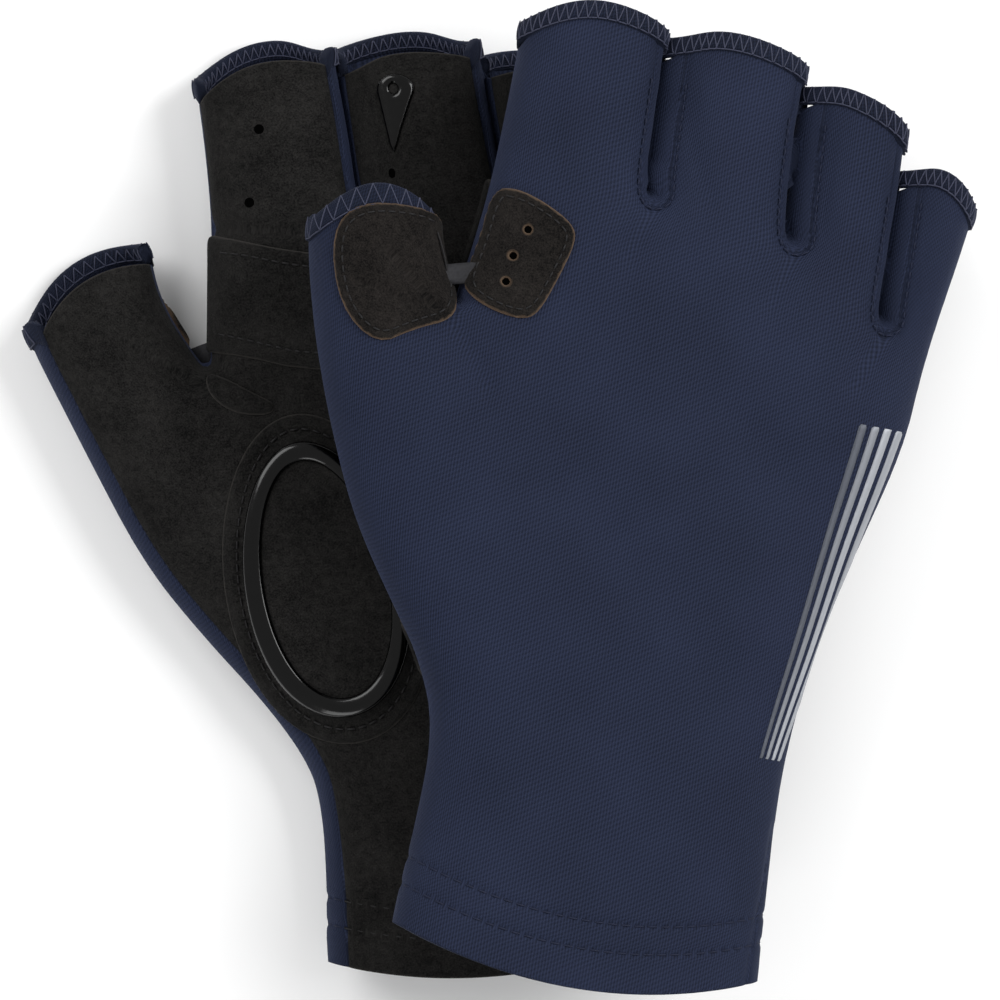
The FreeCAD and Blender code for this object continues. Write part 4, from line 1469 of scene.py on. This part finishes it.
    def patches(self) -> None:
        """The thumb patch, the index patch and the strip across the web."""
        finishes = self.finishes
        left = self.palm_up
        shift = (-4.6, 3.4) if left else (0.0, 0.0)
        lean = math.radians(11.0 if left else 0.0)
        centre = np.array((-58.0, 127.0))
        corners = np.array(((-73.0, 132.6), (-69.0, 139.4), (-57.0, 140.6), (-51.0, 139.0),
                            (-48.4, 131.0), (-45.8, 124.6), (-46.3, 119.6), (-53.8, 116.4),
                            (-60.8, 111.8), (-69.0, 118.2))) - centre
        turn = np.array(((math.cos(lean), math.sin(lean)), (-math.sin(lean), math.cos(lean))))
        outline = smooth_loop(corners @ turn + centre + shift, 2)
        thumb = Applique("thumb_patch", "thumb_patch", "patch_suede", outline, 1.0)
        self.lay(thumb, finishes.patch, self.back)
        self.topstitch(self.black, thumb.inset(1.7, 2.0), self.back, 2.0, 1.15)
        corners = ((-41.8, 146.6), (-38.0, 147.4), (-32.0, 145.4), (-26.2, 142.2),
                   (-24.9, 139.0), (-27.2, 131.0), (-30.0, 123.4), (-33.0, 121.8),
                   (-39.0, 122.6), (-44.0, 125.0), (-44.9, 128.0), (-43.0, 136.0))
        vents = self.vent_sizes.patch
        index = Applique("index_patch", "index_patch", "patch_suede", smooth_loop(corners, 2),
                         1.0, holes=vents, cell=0.45)
        self.lay(index, finishes.patch, self.back)
        self.topstitch(self.black, index.inset(1.6, 2.0), self.back, 2.0, 1.15)
        start, end = ((-49.5, 124.6), (-43.0, 126.0)) if left else ((-53.5, 127.0), (-41.0, 130.2))
        self.known(self.strip(start, end), ["web_strip"])

    def strip(self, start: tuple[float, float], end: tuple[float, float]) -> bpy.types.Object:
        """The flat elastic that crosses from the thumb to the index side."""
        low, high = np.array(start), np.array(end)
        run = high - low
        side = np.array((-run[1], run[0])) / np.hypot(*run)
        top = max(float(self.form.height(*np.array(start)[:, None])[0]),
                  float(self.form.height(*np.array(end)[:, None])[0])) - 0.6
        rings = []
        for across, lift in ((-2.1, -0.35), (-1.9, 0.25), (-1.0, 0.4), (0.0, 0.36), (1.0, 0.4),
                             (1.9, 0.25), (2.1, -0.35), (1.9, -0.6), (-1.9, -0.6)):
            share = np.linspace(0.0, 1.0, 17)
            flat = low + share[:, None] * run + across * side
            sag = 2.4 * np.sin(share * math.pi)
            rings.append(np.column_stack((flat, self.back * (top - sag + lift))))
        cloth = swept(rings, closed=False, flip=self.back > 0.0)
        return self.wearer.piece("web_strip", cloth, self.finishes.elastic)

    def palm_pieces(self) -> None:
        """The index band, the crescent under the thumb and the grips of the stalls."""
        finishes, palm = self.finishes, -self.back
        corners = ((-46.6, 148.9), (-44.0, 149.4), (-36.0, 146.7), (-28.0, 143.9),
                   (-15.5, 140.7), (-15.5, 118.0), (-28.0, 119.6), (-38.0, 123.4),
                   (-46.6, 125.6), (-47.6, 127.2), (-47.0, 140.0))
        band = Applique("index_band", "index_band", "palm_suede", smooth_loop(corners, 1), 0.9)
        self.lay(band, finishes.suede, palm)
        self.topstitch(self.black, ((-44.5, 146.1), (-36.0, 143.9), (-28.0, 141.1),
                                    (-17.0, 138.1)), palm, 2.0, 1.05)
        self.topstitch(self.black, ((-45.0, 129.4), (-37.0, 126.6), (-28.0, 123.2),
                                    (-17.0, 121.2)), palm, 2.0, 1.05)
        corners = ((-46.9, 121.4), (-46.9, 117.4), (-44.0, 113.8), (-40.0, 111.8),
                   (-34.5, 111.2), (-33.5, 113.4), (-38.0, 116.2), (-43.0, 119.8))
        crescent = Applique("palm_crescent", None, "palm_suede", smooth_loop(corners, 2), 0.9,
                            cell=0.45)
        self.lay(crescent, finishes.suede, palm)
        drops = []
        for cx, cy, tx, ty in ((-2.2, 173.0, -4.0, 160.4), (26.0, 166.0, 24.9, 153.6)):
            round_end = [(cx + 4.5 * math.sin(t), cy + 3.3 * math.cos(t))
                         for t in np.linspace(-1.9, 1.9, 13)]
            point = [(tx + 1.0, ty + 1.6), (tx, ty), (tx - 1.0, ty + 1.6)]
            drops.append((np.array(round_end + point), (cx, cy + 0.3, 1.05)))
        parts = [Applique("drop", None, "silicone", outline, 0.75, 0.2, 1.0, 0.35, (hole,))
                 .solid(self.form, palm)[0] for outline, hole in drops]
        thing = self.wearer.piece("finger_grips", joined(parts), finishes.silicone)
        self.known(thing, ["finger_grips"])

    def pad(self) -> None:
        """The palm pad: its foam, its domed cover, the silicone bead and its stitching."""
        finishes, palm, sizes = self.finishes, -self.back, self.pad_sizes
        lean = math.radians(sizes.turn)
        centre = np.array(sizes.centre)
        angles = np.linspace(0.0, 2.0 * math.pi, 73)[:-1]

        def egg(half_width: float, half_length: float) -> np.ndarray:
            """An oval that is fuller towards the wrist, leaning to the thumb."""
            x = half_width * np.cos(angles) * (1.0 - 0.07 * np.sin(angles))
            y = half_length * np.sin(angles)
            return centre + np.stack((x * math.cos(lean) - y * math.sin(lean),
                                      x * math.sin(lean) + y * math.cos(lean)), axis=1)

        def dome(inward: np.ndarray) -> np.ndarray:
            """The extra height of the cover over the foam."""
            share = np.clip((inward - 3.2) / 3.5, 0.0, 1.0)
            groove = sizes.seam_depth * np.exp(-((inward - sizes.seam) / 0.7) ** 2)
            return sizes.rise * share ** 2 * (3.0 - 2.0 * share) - groove

        cover = Applique("palm_pad_cover", "palm_pad_cover", "palm_suede", egg(*sizes.cover),
                         0.7, 0.1, 0.6, 0.7)
        solid, inward = cover.solid(self.form, palm, dome)
        thing = self.wearer.piece("palm_pad_cover", solid, finishes.suede, inward=inward)
        self.known(thing, ["palm_pad_cover"])
        foam = Applique("palm_pad_foam", None, "foam", egg(*sizes.foam), 0.6, 0.1, 1.5, 1.2)
        solid, _ = foam.solid(self.form, palm)
        self.known(self.wearer.piece("palm_pad_foam", solid, finishes.foam),
                   ["palm_pad_foam"])
        self.topstitch(self.black, cover.inset(sizes.seam, 2.3), palm, 2.3, 0.75)
        rows = []
        for wide, long_, lift in sizes.bead:
            flat = egg(wide, long_)
            rows.append(self.form.skin(flat, palm, np.full(len(flat), lift)))
        bead = swept(rows, closed=True, flip=palm < 0.0)
        self.known(self.wearer.piece("palm_grip_ring", bead, finishes.silicone),
                   ["palm_grip_ring"])

    def stripes(self) -> None:
        """Plain tapered stripes along the little-finger side of the back."""
        sizes = self.stripe_sizes
        (top, top_step, top_width), (foot, foot_step, foot_width) = sizes.top, sizes.foot
        high, low = sizes.ends
        parts, tones = [], []
        for k, tone in enumerate(sizes.tones):
            x, y = top - top_step * k, foot - foot_step * k
            line = ((x - top_width, high), (x, high), (y, low), (y - foot_width, low))
            shape = Applique("stripe", None, "reflective_print", np.array(line), 0.12, 0.1,
                             0.3, 0.5, (), 0.4)
            solid, _ = shape.solid(self.form, self.back)
            parts.append(solid)
            tones.append(np.full(len(solid.points), tone))
        thing = self.wearer.piece("side_stripes", joined(parts), self.finishes.print,
                                  tone=np.concatenate(tones))
        self.known(thing, ["side_stripes"])

    def vents(self) -> None:
        """The punched holes of the fingers' palm side, drawn as low discs in near black: painted
        shade for the inside of each hole.
        """
        palm, sizes = -self.back, self.vent_sizes
        sides, rings = sizes.sides, len(sizes.profile)
        places = [(x, y, palm) for x, y in sizes.palm]
        places += [(x, y, self.back) for x, y, _ in sizes.patch]
        angles = np.linspace(0.0, 2.0 * math.pi, sides + 1)[:-1]
        holes = []
        for cx, cy, upper in places:
            rows = []
            for radius, lift in sizes.profile:
                flat = np.stack((cx + radius * np.cos(angles), cy + radius * np.sin(angles)), 1)
                rows.append(self.form.skin(flat, upper, np.full(len(flat), lift)))
            faces = [(low + a, low + (a + 1) % sides, low + sides + (a + 1) % sides,
                      low + sides + a)
                     for low in range(0, (rings - 1) * sides, sides) for a in range(sides)]
            faces.append(tuple((rings - 1) * sides + a for a in range(sides)))
            faces.append(tuple(reversed(range(sides))))
            if upper < 0.0:
                faces = [face[::-1] for face in faces]
            holes.append(Cloth(np.vstack(rows), faces))
        cloth = joined(holes)
        # Each hole is a low disc whose near-black colour is painted shade, not an opening.
        self.known(self.wearer.piece("vents", cloth, self.finishes.void), [])

    def sew(self) -> None:
        """Turns the gathered rows into thread."""
        finishes = self.finishes
        threads = (("cuff_stitching", self.navy, 0.2, finishes.navy_thread, ["cuff_stitching"]),
                   ("overlock_stitching", self.hem_rows, 0.15, finishes.hem_thread, []),
                   ("suede_stitching", self.black, 0.22, finishes.black_thread, []))
        for name, rows, radius, material, nodes in threads:
            thing = self.tree.sew(self.wearer, name, rows, radius, material)
            self.known(thing, nodes)

    def build(self) -> None:
        """Makes every piece of the glove."""
        self.panels()
        for rim in (self.plan.thumb, *self.plan.fingers):
            self.hem(rim)
        self.cuff()
        self.slit_rows()
        self.patches()
        self.palm_pieces()
        self.pad()
        self.stripes()
        self.vents()
        self.sew()


def swept(rings: Sequence[np.ndarray], closed: bool, flip: bool) -> Cloth:
    """A closed skin over a profile carried along a path.

    Args:
        rings: For each point of the closed profile, its line of points along the path.
        closed: Whether the path runs into its own start. If not, both ends are capped.
        flip: Whether to turn the faces round.

    Returns:
        The skin.
    """
    grid = np.stack(rings)
    rows, columns = grid.shape[:2]
    points = grid.reshape(-1, 3)
    faces = []
    for i in range(rows):
        after = (i + 1) % rows
        for j in range(columns if closed else columns - 1):
            right = (j + 1) % columns
            faces.append((i * columns + j, i * columns + right,
                          after * columns + right, after * columns + j))
    if not closed:
        faces.append(tuple(i * columns for i in range(rows)))
        faces.append(tuple(i * columns + columns - 1 for i in reversed(range(rows))))
    if flip:
        faces = [face[::-1] for face in faces]
    return Cloth(points, faces)


# ---- the studio -----------------------------------------------------------------------

@dataclass
class Studio:
    """A pale floor, soft light from above, and a camera that looks straight down."""

    frame_width: float = 0.2     # of the floor that the camera sees
    camera_height: float = 1.5
    subject_height: float = 0.03
    look_at: tuple[float, float] = (0.26 * MM, -0.91 * MM)

    def build(self) -> None:
        """Makes the floor, the lights and the camera."""
        scene = bpy.context.scene
        mesh = bpy.data.meshes.new("floor")
        far = 3.0
        mesh.from_pydata([(-far, -far, -0.0006), (far, -far, -0.0006), (far, far, -0.0006),
                          (-far, far, -0.0006)], [], [(0, 1, 2, 3)])
        floor = bpy.data.objects.new("floor", mesh)
        scene.collection.objects.link(floor)
        material = bpy.data.materials.new("studio_floor")
        material.use_nodes = True
        tree = material.node_tree
        place = add(tree, "ShaderNodeTexCoord")
        patchy = noise(tree, place.outputs["Object"], 9.0, 2.0)
        ramp = add(tree, "ShaderNodeMix", {0: patchy, 6: (0.96, 0.96, 0.96, 1.0),
                                           7: (0.98, 0.98, 0.98, 1.0)}, data_type="RGBA")
        shader = tree.nodes["Principled BSDF"]
        tree.links.new(ramp.outputs[2], shader.inputs["Base Color"])
        shader.inputs["Roughness"].default_value = 0.9
        mesh.materials.append(material)
        for name, place, size, power in (("key", (1.0, 0.4, 1.0), 0.9, 18.0),
                                         ("fill", (-0.85, 0.8, 1.0), 0.9, 11.0),
                                         ("low", (-0.3, -1.2, 0.9), 0.8, 7.0)):
            light = bpy.data.lights.new(name, "AREA")
            light.size = size
            light.energy = power
            lamp = bpy.data.objects.new(name, light)
            lamp.location = place
            lamp.rotation_euler = (-Vector(place)).to_track_quat("-Z", "Y").to_euler()
            scene.collection.objects.link(lamp)
        world = bpy.data.worlds.new("studio")
        scene.world = world
        world.use_nodes = True
        sky = world.node_tree.nodes["Background"]
        sky.inputs["Color"].default_value = (1.0, 1.0, 1.0, 1.0)
        sky.inputs["Strength"].default_value = 0.4
        camera = bpy.data.cameras.new("camera")
        camera.sensor_width = 36.0
        camera.lens = 36.0 * (self.camera_height - self.subject_height) / self.frame_width
        camera.clip_end = 20.0
        eye = bpy.data.objects.new("camera", camera)
        eye.location = (*self.look_at, self.camera_height)
        scene.collection.objects.link(eye)
        scene.camera = eye
        scene.view_settings.view_transform = "Standard"


RIGHT_PLAN = HandPlan(
    outer_edge=((-37.6, 0.0), (-36.0, 20.0), (-35.6, 40.0), (-41.0, 53.0), (-47.0, 61.0),
                (-54.7, 72.0), (-60.8, 83.0), (-70.4, 104.0), (-75.7, 128.0), (-76.6, 134.6)),
    thumb_inner=((-51.9, 138.6), (-49.6, 131.5), (-46.6, 125.6), (-45.6, 123.0),
                 (-45.6, 127.0)),
    thumb=Rim("thumb", (-76.6, 134.6), (-51.9, 138.6), 7.0, 3.3, 4.0),
)
LEFT_PLAN = HandPlan(
    outer_edge=((-37.6, 0.0), (-35.9, 14.2), (-34.7, 33.4), (-37.0, 42.1), (-43.7, 53.9),
                (-54.1, 68.5), (-64.2, 84.5), (-73.0, 107.2), (-81.0, 129.4), (-82.1, 135.2)),
    thumb_inner=((-55.4, 148.7), (-54.2, 137.0), (-48.4, 125.4), (-46.2, 122.4),
                 (-45.7, 127.0)),
    thumb=Rim("thumb", (-82.1, 135.2), (-55.4, 148.7), 5.5, 2.6, 3.6),
)
RIGHT_CREASES = (
    Crease((-61.5, 131.0), (-50.5, 121.5), 0.9, 1.5),
    Crease((-66.0, 124.0), (-54.0, 121.5), 0.7, 1.5),
    Crease((-46.0, 118.0), (-38.0, 108.0), 0.5, 2.5),
    Crease((-12.6, 148.0), (-14.0, 138.0), 0.5, 2.5),
    Crease((17.3, 144.0), (16.0, 134.0), 0.5, 2.5),
    Crease((38.7, 131.0), (36.0, 121.0), 0.5, 2.5),
    Crease((-30.0, 44.0), (20.0, 58.0), 0.5, 7.0),
    Crease((34.6, -7.0), (34.9, 31.0), 0.35, 0.6),
    Crease((-10.1, 169.4), (-1.0, 152.0), 0.55, 3.0),
    Crease((-11.9, 156.2), (-12.6, 153.4), -0.9, 1.3),
    Crease((20.0, 168.0), (22.0, 150.0), 0.4, 2.5),
    Crease((-38.0, 172.0), (-30.0, 150.0), 0.35, 4.0),
    Crease((-20.0, 92.0), (6.0, 74.0), 0.45, 6.0),
    Crease((10.0, 112.0), (30.0, 96.0), 0.4, 5.0),
)
LEFT_CREASES = (
    Crease((-60.0, 128.0), (-49.0, 120.0), 0.8, 2.0),
    Crease((-52.0, 108.0), (-46.0, 96.0), 0.6, 3.0),
    Crease((-45.0, 150.5), (-20.0, 146.5), 0.8, 1.8),
    Crease((-44.0, 115.0), (-20.0, 112.0), 0.6, 3.0),
    Crease((-26.0, 40.0), (10.0, 30.0), 0.7, 5.0),
)


def main() -> None:
    """Builds the pair and its studio."""
    logging.basicConfig(level=logging.INFO, format="%(message)s")
    finishes = Finishes()
    tree = ThreadTree()
    for side, plan, palm_up, creases, seed, lean in (
            (Side.LEFT, LEFT_PLAN, True, LEFT_CREASES, 4, 0.46),
            (Side.RIGHT, RIGHT_PLAN, False, RIGHT_CREASES, 9, 0.40)):
        Glove(side, plan, palm_up, creases, finishes, tree, seed, lean).build()
    Studio().build()


if __name__ == "__main__":
    main()
